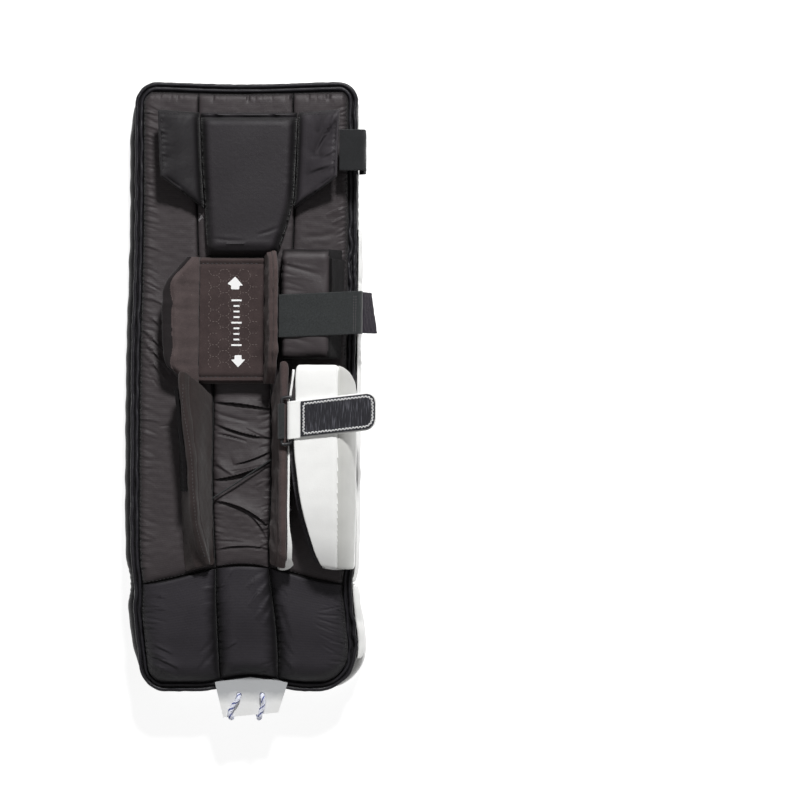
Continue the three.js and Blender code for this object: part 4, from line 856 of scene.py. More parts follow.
def lace_look(name):
    """White braid with blue flecks that wind round it."""
    material, tree, shader = new_look(name, (0.8, 0.82, 0.92), 0.85, specular=0.3)
    strands = maths(tree, "MULTIPLY", ribs(tree, 1.4, "DIAGONAL"), ribs(tree, 2.7, "X"))
    flecks = remap(tree, ribs(tree, 4.4, "DIAGONAL"), 0.82, 0.9)
    blue = tint(tree, noise(tree, 2.5, detail=2), (0.12, 0.16, 0.5), (0.04, 0.04, 0.12))
    drive(tree, shader, "Base Color", tint(tree, flecks, (0.8, 0.82, 0.92), blue))
    relief(tree, shader, (strands, 0.5))
    return material


def thread_look(name, colour):
    material, tree, shader = new_look(name, colour, 0.7)
    shader.inputs["Sheen Weight"].default_value = 0.2
    twist = noise(tree, 0.6, detail=3)
    darker = tuple(value * 0.6 for value in colour)
    drive(tree, shader, "Base Color", tint(tree, twist, darker, colour))
    relief(tree, shader, (twist, 0.12))
    return material


LOOKS = {
    "liner": nylon_look("liner_nylon", (0.031, 0.0255, 0.0275), (0.050, 0.0415, 0.044)),
    "pad": nylon_look(
        "pad_nylon", (0.0165, 0.0140, 0.0166), (0.0235, 0.0202, 0.0238), rib=3, gloss=0.56, ribbed=0.08
    ),
    # Darker and lighter copies of the pad nylon for the thigh wings: painted shade on the lateral wing,
    # painted light on the medial one
    "shaded_pad": nylon_look(
        "shaded_pad_nylon", (0.0095, 0.0082, 0.0098), (0.0140, 0.0122, 0.0144), rib=3, gloss=0.58, ribbed=0.08
    ),
    "lit_pad": nylon_look(
        "lit_pad_nylon", (0.0265, 0.0230, 0.0270), (0.0400, 0.0350, 0.0405), rib=3, gloss=0.5, ribbed=0.08
    ),
    "boot": nylon_look("boot_nylon", (0.0195, 0.0172, 0.0212), (0.030, 0.0267, 0.0325), rib=3, gloss=0.6),
    "gusset": nylon_look("gusset_vinyl", (0.012, 0.011, 0.014), (0.020, 0.019, 0.023), rib=4, gloss=0.4),
    "suede": suede_look("brown_suede", (0.027, 0.0185, 0.0185), (0.066, 0.047, 0.046), (0.20, 0.16, 0.155)),
    "worn_suede": suede_look("worn_suede", (0.042, 0.031, 0.031), (0.096, 0.073, 0.072), (0.24, 0.20, 0.19)),
    "edge_suede": suede_look("edge_suede", (0.040, 0.028, 0.027), (0.094, 0.068, 0.066), (0.18, 0.15, 0.145)),
    "wrap": suede_look("wrap_cloth", (0.022, 0.016, 0.0155), (0.042, 0.032, 0.031), (0.085, 0.066, 0.063)),
    "leather": leather_look("white_leather", (0.86, 0.86, 0.845), (0.81, 0.81, 0.795)),
    # Dark backing cloth, made darker still as painted shade where it shows under the cradle's outer wing
    "binding": suede_look(
        "dark_backing_painted_shade", (0.008, 0.0065, 0.007), (0.020, 0.016, 0.017), (0.03, 0.026, 0.027)
    ),
    # A greyer copy of the white leather: painted shade for the calf guard's bevel
    "painted_shade_leather": leather_look("painted_shade_leather", (0.56, 0.56, 0.535), (0.50, 0.50, 0.48)),
    "bridge": shadowed_bridge_look("bridge_leather_painted_shadow", (0.90, 0.90, 0.89), (0.48, 0.49, 0.50)),
    "elastic": webbing_look("grey_elastic", (0.011, 0.0125, 0.013), (0.045, 0.050, 0.051)),
    "dark_elastic": webbing_look("dark_elastic", (0.0065, 0.007, 0.008), (0.019, 0.020, 0.022)),
    "hook": hook_look("hook_tape", (0.010, 0.010, 0.013), (0.032, 0.031, 0.038), (0.11, 0.11, 0.13)),
    "tab": hook_look(
        "tab_tape", (0.010, 0.007, 0.012), (0.036, 0.027, 0.042), (0.16, 0.13, 0.18), rows=False, sheen=0.08
    ),
    "loop": hook_look(
        "loop_tape", (0.0022, 0.0018, 0.0022), (0.0085, 0.007, 0.008), (0.10, 0.09, 0.10),
        rows=False, sheen=0.02,
    ),
    "plastic": plastic_look("black_plastic", (0.018, 0.018, 0.020), 0.38),
    "metal": metal_look("rivet_metal"),
    "lace": lace_look("white_lace"),
    "dark_thread": thread_look("dark_thread", (0.008, 0.007, 0.008)),
    "black_thread": thread_look("black_thread", (0.0035, 0.003, 0.0035)),
    "lock_thread": thread_look("lock_thread", (0.050, 0.046, 0.050)),
    "grey_thread": thread_look("grey_thread", (0.10, 0.09, 0.095)),
    "white_thread": thread_look("white_thread", (0.82, 0.82, 0.82)),
    "print": plastic_look("white_print", (0.83, 0.83, 0.83), 0.6),
    "hexes": plastic_look("hex_print", (0.145, 0.115, 0.108), 0.75),
    "frayed": thread_look("frayed_thread", (0.30, 0.29, 0.30)),
}


# Outline of the body

def edge_x(y, inset, side):
    """Where the body's side lies, less an inset, with its two rounded corners."""
    y = np.asarray(y, float)
    corner = np.where(y > 0, THIGH_CORNERS[side], TOE_CORNERS[side])
    radius = np.maximum(corner - inset, 1)
    into = np.maximum(np.abs(y) - (HALF_LENGTH - inset - radius), 0)
    x = HALF_WIDTH - inset - radius + np.sqrt(np.maximum(radius**2 - into**2, 0))
    return -x if side == "lateral" else x


def seam_x(y, side):
    return SIGNS[side] * read_rows(SEAM_ROWS, side, np.asarray(y, float) / HALF_LENGTH) * HALF_WIDTH


CORNER_EASE = (0.4, 1.2, 2.4, 4, 6, 8.4, 11.2, 14.4, 18, 22, 26.4, 31, 36, 42)


def roll_radius(y):
    pinch = 1 - 0.16 * bump(y - BOOT_BREAK, 2 * BREAK_SPREAD)
    from_end = max(HALF_LENGTH - ROLL_END - abs(y), 0)
    return ROLL_RADIUS * pinch * (0.42 + 0.58 * smoothstep(from_end, 0, 60))


# Body: face, roll, core and side panels

def make_front_shell():
    places = spaced(-HALF_LENGTH, HALF_LENGTH, 4, CORNER_EASE)
    close = [at + np.linspace(-5, 5, 11) for at in (KNEE_BREAK, BOOT_BREAK)]
    places = np.unique(np.concatenate([places, *close]))

    def section(y):
        floor = 3 * sum(bump(y - at, 9) for at in (KNEE_BREAK, BOOT_BREAK))
        left = float(edge_x(y, 1, "lateral")) + roll_radius(y) + 2 * GAP
        thigh = smoothstep(y, KNEE_BREAK - TOE_FLAT, KNEE_BREAK + TOE_FLAT)
        boot = smoothstep(BOOT_BREAK - y, 0, BOOT_PANEL_LENGTH / 2)
        over = FACE_OVERHANG * (1 - 0.85 * thigh + boot - bump(y - BOOT_BREAK, BREAK_SPREAD))
        right = float(edge_x(y, 0, "medial")) + over
        return [(left, floor), (right, floor), (right, FACE_THICKNESS), (left, FACE_THICKNESS)]

    rings = pillow(rings_of(places, section, count=150, radius=FACE_ROUNDING), 4)
    shade = 0.35 * ripple(rings[..., 1], rings[..., 2] * 2, 60, seed=3)
    edge = smoothstep(rings[..., 2], 2, 8)
    add_part("front_shell", swollen(rings, shade * edge), "leather")


def make_lateral_roll():
    places = spaced(-HALF_LENGTH + ROLL_END, HALF_LENGTH - ROLL_END, 2.4)

    def section(y):
        turn = np.linspace(0, 2 * math.pi, 33)[:-1]
        radius = roll_radius(y)
        x = float(edge_x(y, 1, "lateral")) + radius * np.cos(turn)
        return np.column_stack([x, ROLL_RADIUS + GAP + radius * np.sin(turn)])

    rings = rings_of(places, section)
    along, up = rings[..., 1], rings[..., 2]
    puckers = 0.5 * bump(along - BOOT_BREAK, 70) * np.sin(along * 0.9 + up * 0.15)
    waves = 0.35 * ripple(along, up, 34, seed=11)
    add_part("lateral_roll", swollen(rings, puckers + waves), "gusset")


def make_core():
    places = spaced(-HALF_LENGTH, HALF_LENGTH, 3.2, CORNER_EASE)

    def section(y):
        left, right = float(edge_x(y, 0, "lateral")), float(edge_x(y, 0, "medial"))
        far_left, far_right = left - CORE_BULGE, right + CORE_BULGE
        return [
            (far_left, CORE_BOTTOM + 8), (left + 1, CORE_BOTTOM), (right - 1, CORE_BOTTOM),
            (far_right, CORE_BOTTOM + 8), (far_right, CORE_TOP - 8), (right - 0.5, CORE_TOP),
            (left + 0.5, CORE_TOP), (far_left, CORE_TOP - 8),
        ]

    rings = rings_of(places, section, count=150, radius=4)
    along, up = rings[..., 1], rings[..., 2]
    wall = bump(up - (CORE_BOTTOM + CORE_TOP) / 2, 34)
    seam = -1.1 * np.exp(-(((up - 44) / 1.1) ** 2))
    gathers_here = 0.4 * ripple(along * 2.2, up * 0.5, 16, seed=21)
    add_part(
        "core", swollen(rings, wall * gathers_here + seam * (wall > 0)), "gusset"
    )


def make_side_panel(name, start, end, thickness, puckers):
    """A padded leather wall on the core's medial side, with folds where the pad bends."""
    core_side = HALF_WIDTH + CORE_BULGE + GAP

    def section(y):
        from_end = min(y - start, end - y)
        bulge = thickness * (0.45 + 0.55 * math.sqrt(min(from_end / 12, 1)))
        height = CORE_TOP - CORE_BOTTOM
        return [
            (core_side, CORE_BOTTOM), (core_side + bulge * 0.8, CORE_BOTTOM + 2),
            (core_side + bulge, CORE_BOTTOM + height * 0.35),
            (core_side + bulge * 0.9, CORE_TOP - height * 0.25),
            (core_side + bulge * 0.3, CORE_TOP), (core_side, CORE_TOP),
        ]

    rings = rings_of(spaced(start, end, 1.8), section, count=44, radius=6)
    along, up = rings[..., 1], rings[..., 2]
    outer = smoothstep(rings[..., 0], core_side + 0.4, core_side + 2)
    slant = 0.15 * (up - 40)
    dents = sum(depth * np.exp(-(((along - at - slant) / width) ** 2)) for at, width, depth in puckers)
    waves = 0.45 * ripple(along, up * 1.4, 40, seed=31)
    add_part(name, swollen(rings, outer * (waves - dents)), "leather")


# Rim piping

def rim_path(inset, z, count):
    """Closed path round the body's outline, from its medial thigh corner on."""
    corners = [(1, 1, "medial"), (1, -1, "medial"), (-1, -1, "lateral"), (-1, 1, "lateral")]
    points = []
    for i, (sx, sy, side) in enumerate(corners):
        corner = THIGH_CORNERS[side] if sy > 0 else TOE_CORNERS[side]
        radius = corner - inset
        for k in range(13):
            angle = math.pi / 2 * (1 - i - k / 12)
            x = sx * (HALF_WIDTH - corner) + radius * math.cos(angle)
            y = sy * (HALF_LENGTH - corner) + radius * math.sin(angle)
            points.append((x, y, z))
    return evenly(points, count)


def tube_rings(path, radii, sides=14, looped=True):
    """Rings of a round bar along a path that lies nearly level."""
    path = np.asarray(path, float)
    if looped:
        ahead = np.roll(path, -1, axis=0) - np.roll(path, 1, axis=0)
    else:
        ahead = np.gradient(path, axis=0)
    ahead /= np.linalg.norm(ahead, axis=1, keepdims=True)
    out = np.cross(ahead, (0, 0, 1))
    out /= np.maximum(np.linalg.norm(out, axis=1, keepdims=True), 1e-9)
    up = np.cross(out, ahead)
    turn = 2 * math.pi * (np.arange(sides) + 0.5) / sides
    radii = np.broadcast_to(radii, len(path))[:, None, None]
    return (
        path[:, None, :]
        + radii * np.cos(turn)[None, :, None] * out[:, None, :]
        + radii * np.sin(turn)[None, :, None] * up[:, None, :]
    )


def make_piping(name, inset, seed):
    path = rim_path(inset, LINER_BOTTOM + PIPING_RADIUS, 620)
    waves = ripple(path[:, 0], path[:, 1], 22, seed=seed)
    worn = np.maximum(bump(path[:, 1] - 110, 240), bump(path[:, 1] + 290, 110))
    puckers = smoothstep(path[:, 0], 100, 120) * worn
    fine = ripple(path[:, 0], path[:, 1], 9, seed=seed + 1)
    radii = PIPING_RADIUS * (0.97 + 0.05 * waves + (0.07 + 0.16 * puckers) * fine)
    path[:, 0] += (0.5 + 1.1 * puckers) * waves
    path[:, 2] += 0.5 * ripple(path[:, 0], path[:, 1], 30, seed=seed + 2)
    add_part(name, tube_rings(path, radii), "gusset", looped=True)


# Liner columns

COLUMNS = {
    "lateral": (
        lambda y: edge_x(y, LINER_INSET, "lateral"),
        lambda y: seam_x(y, "lateral") - SEAM_WIDTH / 2,
    ),
    "centre": (
        lambda y: seam_x(y, "lateral") + SEAM_WIDTH / 2,
        lambda y: seam_x(y, "medial") - SEAM_WIDTH / 2,
    ),
    "medial": (
        lambda y: seam_x(y, "medial") + SEAM_WIDTH / 2,
        lambda y: edge_x(y, LINER_INSET, "medial"),
    ),
}


def quilt(places, x0, x1, base, height_at, step):
    """Rings of a cushion that lies on its base: height_at gives its top over the base."""
    width = float(np.max(x1 - x0))
    shares = spaced(0, width, step) / width
    x = x0[:, None] + (x1 - x0)[:, None] * shares[None, :]
    y = np.broadcast_to(places[:, None], x.shape)
    top = np.stack([x, y, base + height_at(x, y)], axis=-1)
    right = np.stack([x1, places, np.full(len(places), base)], axis=-1)[:, None, :]
    left = np.stack([x0, places, np.full(len(places), base)], axis=-1)[:, None, :]
    return np.concatenate([top, right, left], axis=1)


def photo_line(*pixels, level=65):
    """Layout places of points that were measured in the photograph, at a level in millimetres."""
    scale = MM_PER_PIXEL * (PHOTO_DISTANCE - level) / RIM_DISTANCE
    x0, y0 = PHOTO_ORIGIN
    return [(x0 + (px - PHOTO_MIDDLE) * scale, y0 + (PHOTO_MIDDLE - py) * scale) for px, py in pixels]


def folds(rows):
    """Free folds. Each row: start x, y and end x, y in photograph pixels, then width, depth, bow and lap.

    A lap of 0 is a plain fold. Another one is how many widths the near side of a lapped fold rises over.
    """
    creases = []
    for x0, y0, x1, y1, width, depth, bow, lap in rows:
        root, tip = photo_line((x0, y0), (x1, y1))
        crease = {"root": root, "tip": tip, "free": True}
        creases.append({**crease, "width": width, "depth": depth, "bow": bow, "lap": lap})
    return creases


LATERAL_FOLDS = [
    (138, 326, 176, 366, 1.5, 2.4, -2.5, 3),
    (139, 338, 172, 374, 1.4, 2.6, -2, 3),
    (139, 350, 166, 380, 1.4, 2, -2, 2.6),
    (141, 312, 168, 334, 1.6, 1.6, -2, 3),
    (140, 296, 166, 306, 1.8, 1.3, -1.5, 2.6),
    (141, 283, 160, 291, 1.6, 1, -1, 0),
    (142, 364, 158, 386, 1.3, 1.2, -1, 0),
    (160, 426, 180, 424, 1.2, 0.9, 0, 0),
    (142, 172, 150, 196, 1.6, 0.9, 0, 0),
]

CENTRE_FOLDS = [
    (213, 401, 275, 409, 1.8, 4.6, -2, 6.5),
    (215, 422, 274, 437, 2, 3.8, 3, 4.5),
    (216, 433, 248, 441, 1.3, 2.4, -0.8, 0),
    (246, 428, 275, 440, 1.3, 1.8, 1, 0),
    (234, 463, 275, 448, 1.8, 3.4, 2, 4),
    (214, 478, 275, 458, 2, 6, 4, 6.5),
    (230, 471, 273, 462, 1.3, 1.6, 1, 0),
    (216, 500, 271, 532, 1.9, 5.6, -7.5, 6),
    (248, 514, 270, 548, 2, 2.4, -3, 3),
    (215, 557, 272, 556, 1.8, 2.4, -1.5, 3),
    (216, 548, 246, 552, 1.4, 1.2, 0, 0),
    (215, 460, 234, 473, 2, 1.8, 1, 3),
    (218, 413, 250, 421, 2.2, 1.4, 1, 0),
    (256, 486, 273, 474, 1.5, 1.2, 1, 0),
    (256, 560, 271, 551, 1.5, 1.3, 0, 0),
]

MEDIAL_FOLDS = [
    (349, 205, 326, 215, 1.5, 1.4, 0, 2.6),
    (349, 214, 332, 223, 1.4, 1.3, 0, 2.6),
    (349, 228, 336, 236, 1.4, 1.2, 0, 0),
    (349, 240, 338, 244, 1.3, 1.4, 0, 2.6),
    (300, 236, 340, 232, 4, 1, 2, 0),
    (318, 546, 346, 552, 2.4, 1, 1, 0),
]


def liner_height(column, x, y, x0, x1, start, end):
    """Crowned along the rim, with shallower valleys at the long seams and at the boot seam."""
    calf = smoothstep(WRAP_END + 20 - y, 0, 24)
    knee = smoothstep(150 - y, 0, 40)
    seam_keep = 0.7 - 0.3 * knee
    left = crown(x - x0, 9)
    right = crown(x1 - x, 9)
    if column != "lateral":
        left = seam_keep + (1 - seam_keep) * crown(x - x0, 8)
    if column != "medial":
        right = seam_keep + (1 - seam_keep) * crown(x1 - x, 8)
    ends = crown(end - y, 8) * (0.4 + 0.6 * crown(y - start, 10))
    thickness = LINER_THICKNESS * (1 - 0.32 * calf * (column == "centre"))
    return LINER_EDGE + (thickness - LINER_EDGE) * left * right * ends


def make_liner(column):
    left, right = COLUMNS[column]
    start, end = BOOT_BREAK + SEAM_WIDTH / 2, HALF_LENGTH - LINER_INSET - SEAM_WIDTH
    places = spaced(start, end, 1)
    x0, x1 = left(places), right(places)
    creases = {
        "lateral": gathers(left, start + 4, end - 4, 5.2, 17, 1.5, 1, tilt=-0.35, seed=5)
        + folds(LATERAL_FOLDS),
        "centre": gathers(left, start, WRAP_END + 10, 9, 10, 1.2, 1, tilt=-0.3, seed=6)
        + gathers(right, start, WRAP_END + 10, 7.5, 12, 1.6, -1, tilt=-0.3, seed=7)
        + folds(CENTRE_FOLDS),
        "medial": gathers(right, start + 4, end - 4, 5.4, 13, 1.5, -1, tilt=-0.3, seed=8)
        + folds(MEDIAL_FOLDS),
    }[column]

    def height_at(x, y):
        height = liner_height(column, x, y, x0[:, None], x1[:, None], start, end)
        height -= 1.5 * bump(y - end + 5, 14) * np.maximum(ripple(x * 2.2, y * 0.3, 16, seed=14), 0)
        flat = smoothstep(height, LINER_EDGE, LINER_EDGE + 3)
        waves = 0.3 * ripple(x, y * 0.7, 42, seed=15) + 0.12 * ripple(x, y * 1.6, 14, seed=16)
        return height + flat * (crease_relief(x, y, creases) + waves)

    rings = quilt(places, x0, x1, LINER_BOTTOM, height_at, step=1.1)
    return add_part(f"liner_{column}", rings, "liner")


BOOT_FOLDS = {
    "lateral": [
        (143, 652, 178, 668, 1.8, 2, -1.5, 3),
        (144, 662, 174, 677, 1.5, 1.8, -1, 3),
        (146, 640, 170, 652, 1.5, 1.4, -1, 2.6),
        (144, 600, 166, 606, 1.6, 1, 0, 2.6),
        (214, 650, 194, 670, 2.6, 1.4, 0, 0),
        (213, 640, 198, 652, 2, 1, 0, 0),
    ],
    "centre": [
        (272, 588, 250, 612, 1.5, 2, 0, 3),
        (274, 599, 257, 622, 1.5, 1.8, 0, 3),
        (270, 580, 248, 596, 1.5, 1.6, 0, 3),
        (274, 612, 262, 630, 1.4, 1.3, 0, 2.6),
        (218, 600, 234, 580, 1.8, 1.5, 0, 2.6),
        (219, 614, 232, 604, 1.5, 1.2, 0, 0),
        (221, 650, 238, 642, 1.5, 1.4, 0, 2.6),
        (276, 672, 256, 681, 1.5, 1.4, 0, 2.6),
        (274, 662, 260, 668, 1.3, 1.1, 0, 0),
    ],
    "medial": [
        (352, 598, 322, 607, 1.4, 0.8, 0, 0),
        (352, 610, 318, 611, 1.3, 0.8, 0, 0),
        (352, 622, 318, 615, 1.4, 0.88, 0, 0),
        (352, 634, 316, 621, 1.4, 0.88, 0, 0),
        (352, 646, 318, 630, 1.4, 0.8, 0, 0),
        (350, 658, 322, 642, 1.4, 0.9, 0, 0),
        (283, 655, 298, 670, 2.4, 1.6, 0, 2.6),
        (282, 640, 294, 654, 1.8, 1.3, 0, 0),
        (281, 606, 292, 640, 3, 1.4, 0, 0),
        (278, 590, 290, 600, 1.6, 1.2, 0, 0),
    ],
}


def make_boot_liner(column):
    left, right = COLUMNS[column]
    start, end = -HALF_LENGTH + LINER_INSET + SEAM_WIDTH, BOOT_BREAK - SEAM_WIDTH / 2
    places = spaced(start, end, 1)
    x0, x1 = left(places), right(places)
    edge_creases = []
    if column == "lateral":
        edge_creases = gathers(left, start + 12, end - 10, 5, 22, 2.2, 1, tilt=-0.3, seed=41)
    if column == "medial":
        edge_creases = gathers(right, start + 14, end - 8, 5, 20, 2.1, -1, tilt=0.35, seed=42)
    inner, inward = (right, -1) if column == "lateral" else (left, 1)
    edge_creases += gathers(inner, start, end, 8, 12, 1.3, inward, tilt=0.25, seed=43)
    if column == "centre":
        edge_creases += gathers(right, start, end, 8, 12, 1.3, -1, tilt=0.25, seed=44)
    edge_creases += folds(BOOT_FOLDS[column])

    def height_at(x, y):
        from_left, from_right = x - x0[:, None], x1[:, None] - x
        across = crown(from_left, 26 if column == "lateral" else 20)
        across = across * crown(from_right, 26 if column == "medial" else 20)
        ends = crown(y - start, 24) * (0.45 + 0.1 * crown(end - y, 4) + 0.45 * smoothstep(end - y, 0, 70))
        dome = 1.6 * np.sin(math.pi * np.clip((x - x0[:, None]) / (x1 - x0)[:, None], 0, 1))
        height = LINER_EDGE + (BOOT_THICKNESS - LINER_EDGE) * across * ends
        flat = smoothstep(height, LINER_EDGE, LINER_EDGE + 4)
        waves = 0.3 * ripple(x, y, 46, seed=17) + dome * across * ends
        return height + flat * (crease_relief(x, y, edge_creases) + waves)

    rings = quilt(places, x0, x1, LINER_BOTTOM, height_at, step=1.1)
    return add_part(f"boot_liner_{column}", rings, "boot")


# Thigh pad, wings and strap

def thigh_side(y, side):
    share = (THIGH_PAD_END - np.asarray(y, float)) / THIGH_PAD_LENGTH
    half = THIGH_PAD_WIDTH / 2 * read_rows(THIGH_PAD_ROWS, side, share)
    return THIGH_PAD_SIDE + (-half if side == "lateral" else half)


def make_thigh_pad():
    start, end = THIGH_PAD_END - THIGH_PAD_LENGTH, THIGH_PAD_END
    places = spaced(start, end, 1.3)
    x0, x1 = thigh_side(places, "lateral") + GUTTER, thigh_side(places, "medial") - GUTTER
    edges = gathers(lambda y: thigh_side(y, "lateral"), start, end - 12, 9, 10, 0.9, 1, seed=51)
    edges += gathers(lambda y: thigh_side(y, "medial"), start, end - 12, 9, 10, 0.9, -1, seed=52)
    edges += folds([
        (204, 110, 226, 118, 1.8, 1.5, 0, 2.6),
        (230, 116, 264, 118, 2.2, 1.3, 1, 0),
        (268, 112, 288, 120, 1.8, 1.5, 0, 2.6),
        (200, 122, 212, 126, 1.8, 1, 0, 0),
        (296, 122, 284, 128, 1.8, 1, 0, 0),
        (204, 247, 277, 246, 2.2, 2, -1, 3),
        (210, 239, 248, 242, 2, 1.1, 1, 0),
        (258, 236, 280, 228, 2, 1.1, 1, 0),
    ])

    def height_at(x, y):
        across = crown(x - x0[:, None], 11) * crown(x1[:, None] - x, 11)
        hem = 0.42 + 0.58 * crown(end - 7 - y, 9)
        ends = crown(y - start, 12) * np.where(y > end - 7, 0.42 + 0.1 * bump(y - end + 3.5, 7), hem)
        height = 2 + (THIGH_PAD_THICKNESS - 2) * across * ends * crown(end - y, 1.5)
        flat = smoothstep(height, 4, 12)
        width = (x1 - x0)[:, None]
        dome = 2.4 * crown(x - x0[:, None], width / 2) * crown(x1[:, None] - x, width / 2)
        waves = 0.3 * ripple(x, y, 50, seed=53) + dome * crown(np.minimum(y - start, end - y), 40)
        return height + flat * (crease_relief(x, y, edges) + waves)

    rings = quilt(places, x0, x1, DECK, height_at, step=1.4)
    return add_part("thigh_pad", rings, "pad")


WING_FOLDS = {
    "lateral": [
        (154, 118, 168, 123, 1.5, 1.3, 0, 2.6),
        (155, 128, 166, 137, 1.5, 1.2, 0, 2.6),
        (164, 110, 178, 117, 1.6, 1.2, 0, 0),
        (155, 150, 164, 155, 1.6, 1, 0, 0),
        (160, 170, 188, 196, 2.6, 0.9, 1, 0),
        (190, 112, 182, 124, 1.8, 0.9, 0, 0),
    ],
    "medial": [
        (315, 155, 341, 115, 2.4, 3.6, -2, 3.6),
        (319, 134, 333, 114, 1.9, 2.2, 0, 3),
        (308, 174, 338, 167, 3, 2.4, -2, 3),
        (322, 159, 339, 151, 2.2, 1.7, 0, 3),
        (310, 158, 326, 157, 2, 1.2, 1, 0),
        (306, 121, 318, 117, 1.6, 1.1, 0, 0),
    ],
}


def make_thigh_wing(side):
    """Thick at its root. Its outer end stands off the liner, and its toe edge runs aslant."""
    sign = SIGNS[side]
    shares = spaced(0, WING_REACH, 1.2) / WING_REACH
    along = spaced(0, WING_LENGTH, 1.1) / WING_LENGTH
    share, t = np.meshgrid(shares, along, indexing="ij")
    length = WING_ROOT_LENGTH + (WING_LENGTH - WING_ROOT_LENGTH) * share
    y = THIGH_PAD_END - length * (1 - t)
    x = thigh_side(y, side) + sign * (WING_GAP + GUTTER + (WING_REACH - GUTTER) * share)
    bottom = DECK + WING_LIFT * share**1.5
    thickness = WING_ROOT_THICKNESS + (WING_THICKNESS - WING_ROOT_THICKNESS) * share
    from_root = share * WING_REACH
    from_edge = np.minimum.reduce([(1 - share) * WING_REACH, t * length, (1 - t) * length])
    thick = thickness * (0.4 + 0.6 * crown(from_edge, 6)) * (0.25 + 0.75 * crown(from_root, 9))
    puff = 1.4 * smoothstep(np.minimum(from_edge, from_root), 2, 18)
    hem = -1.1 * np.exp(-(((from_edge - 4.4) / 0.9) ** 2))
    outer = gathers(
        lambda at: float(thigh_side(at, side)) + sign * (WING_REACH - 3), 240, 314, 8, 10, 1.1, -sign, seed=57
    )
    flat = smoothstep(np.minimum(from_edge, from_root), 1, 5)
    surface = crease_relief(x, y, folds(WING_FOLDS[side]) + outer) + 0.35 * ripple(x, y, 38, seed=55 + sign)
    upper = bottom + np.where(share > 0.5, (thickness + thick) / 2, thick)
    top = np.stack([x, y, upper + puff + hem + flat * surface], axis=-1)
    lower = bottom + np.where(share > 0.5, (thickness - thick) / 2, 0)
    under = np.stack([x, y, lower], axis=-1)
    rings = np.concatenate([top, under[:, ::-1]], axis=1)
    name = f"thigh_wing_{side}"
    # Painted shade and light: the lateral wing takes the darker copy of the pad nylon, the medial wing the
    # lighter copy
    look = "shaded_pad" if side == "lateral" else "lit_pad"
    return add_part(name, rings, look)


def rounded_path(corners, radius):
    """A path in X and Z with its inner corners rounded."""
    corners = np.array(corners, float)
    path = [corners[0]]
    for before, at, after in zip(corners, corners[1:], corners[2:]):
        path += rounded_corner(before, at, after, radius, steps=8)
    path.append(corners[-1])
    return np.array(path)


def path_normals(path):
    ahead = np.gradient(path, axis=0)
    ahead /= np.maximum(np.linalg.norm(ahead, axis=1, keepdims=True), 1e-9)
    return np.column_stack([-ahead[:, 1], ahead[:, 0]])


def band(path, thickness, width, middle, skew=0.0, skew_from=None, corner=0.0, step=1.5, wave=0.25, seed=1):
    """Rings of a flat band along a path in X and Z, with bound edges and a far end that may be rounded."""
    runs = np.linalg.norm(np.diff(path, axis=0), axis=1)
    line = evenly(path, max(int(runs.sum() / step), 8), closed=False)
    if corner:
        line = np.vstack([line, line[-1] - (line[-1] - line[-2]) * 0.02])
        line[[-1, -2]] = line[[-2, -1]]
    normals = path_normals(line)
    done = np.concatenate([[0], np.cumsum(np.linalg.norm(np.diff(line, axis=0), axis=1))])
    start_x = path[0][0] if skew_from is None else skew_from
    shares = spaced(-1, 1, 0.1, ease=(0.02, 0.05, 0.1))
    rings = []
    for i, (x, z) in enumerate(line):
        into = max(corner - (done[-1] - done[i]), 0)
        half = width / 2 - corner + math.sqrt(max(corner**2 - into**2, 0))
        y = middle + math.tan(math.radians(skew)) * (x - start_x) + half * shares
        near_edge = (1 - np.abs(shares)) * half
        seam = 0.25 * np.exp(-(((near_edge - 2) / 0.5) ** 2))
        thick = thickness * (0.5 + 0.5 * crown(near_edge, 0.8)) - seam
        rise = wave * ripple(done[i] + 0 * y, y, 26, seed=seed)
        nx, nz = normals[i]
        upper = [(x + nx * out, at, z + nz * out) for at, out in zip(y, thick / 2 + rise)]
        lower = [(x - nx * out, at, z - nz * out) for at, out in zip(y, thick / 2 - rise)]
        rings.append(upper + lower[::-1])
    return np.array(rings)


def make_thigh_strap():
    wing_end = float(thigh_side(THIGH_STRAP_CENTRE + THIGH_STRAP_WIDTH / 2, "medial"))
    level = DECK + WING_LIFT + WING_THICKNESS / 2
    out = HALF_WIDTH + CORE_BULGE + GAP + 8
    path = rounded_path(
        [
            (wing_end + 2 * WING_GAP + WING_REACH, level), (out, level), (out, level - THIGH_STRAP_DROP),
            (HALF_WIDTH + CORE_BULGE + GAP + STRAP_THICKNESS / 2, level - THIGH_STRAP_DROP - 5),
        ],
        5,
    )
    rings = band(path, STRAP_THICKNESS, THIGH_STRAP_WIDTH, THIGH_STRAP_CENTRE, wave=0.35, seed=61)
    return add_part("thigh_strap", rings, "dark_elastic")


# Knee cradle, block and strap

def cradle_fold(sign):
    return CRADLE_SIDE + sign * CRADLE_WIDTH / 2


def make_cradle_pad():
    start, end = CRADLE_END - CRADLE_LENGTH, CRADLE_END
    places = spaced(start, end, 1.6)
    x0, x1 = np.full(len(places), cradle_fold(-1)), np.full(len(places), cradle_fold(1))

    def height_at(x, y):
        from_end = np.minimum(y - start, end - y)
        roll = 4 + 11 * crown(from_end, 5)
        hem = -2.6 * np.exp(-(((from_end - 7.5) / 1.5) ** 2))
        side = 0.9 * (crown(np.minimum(x - x0[:, None], x1[:, None] - x), 5) - 1)
        hollow = -0.7 * smoothstep(from_end, 9, 26) * np.sin(math.pi * (x - x0[:, None]) / CRADLE_WIDTH)
        return roll + hem + side + hollow + 0.25 * ripple(x, y, 30, seed=71)

    rings = quilt(places, x0, x1, DECK, height_at, step=1.6)
    return add_part("knee_cradle_pad", rings, "suede")


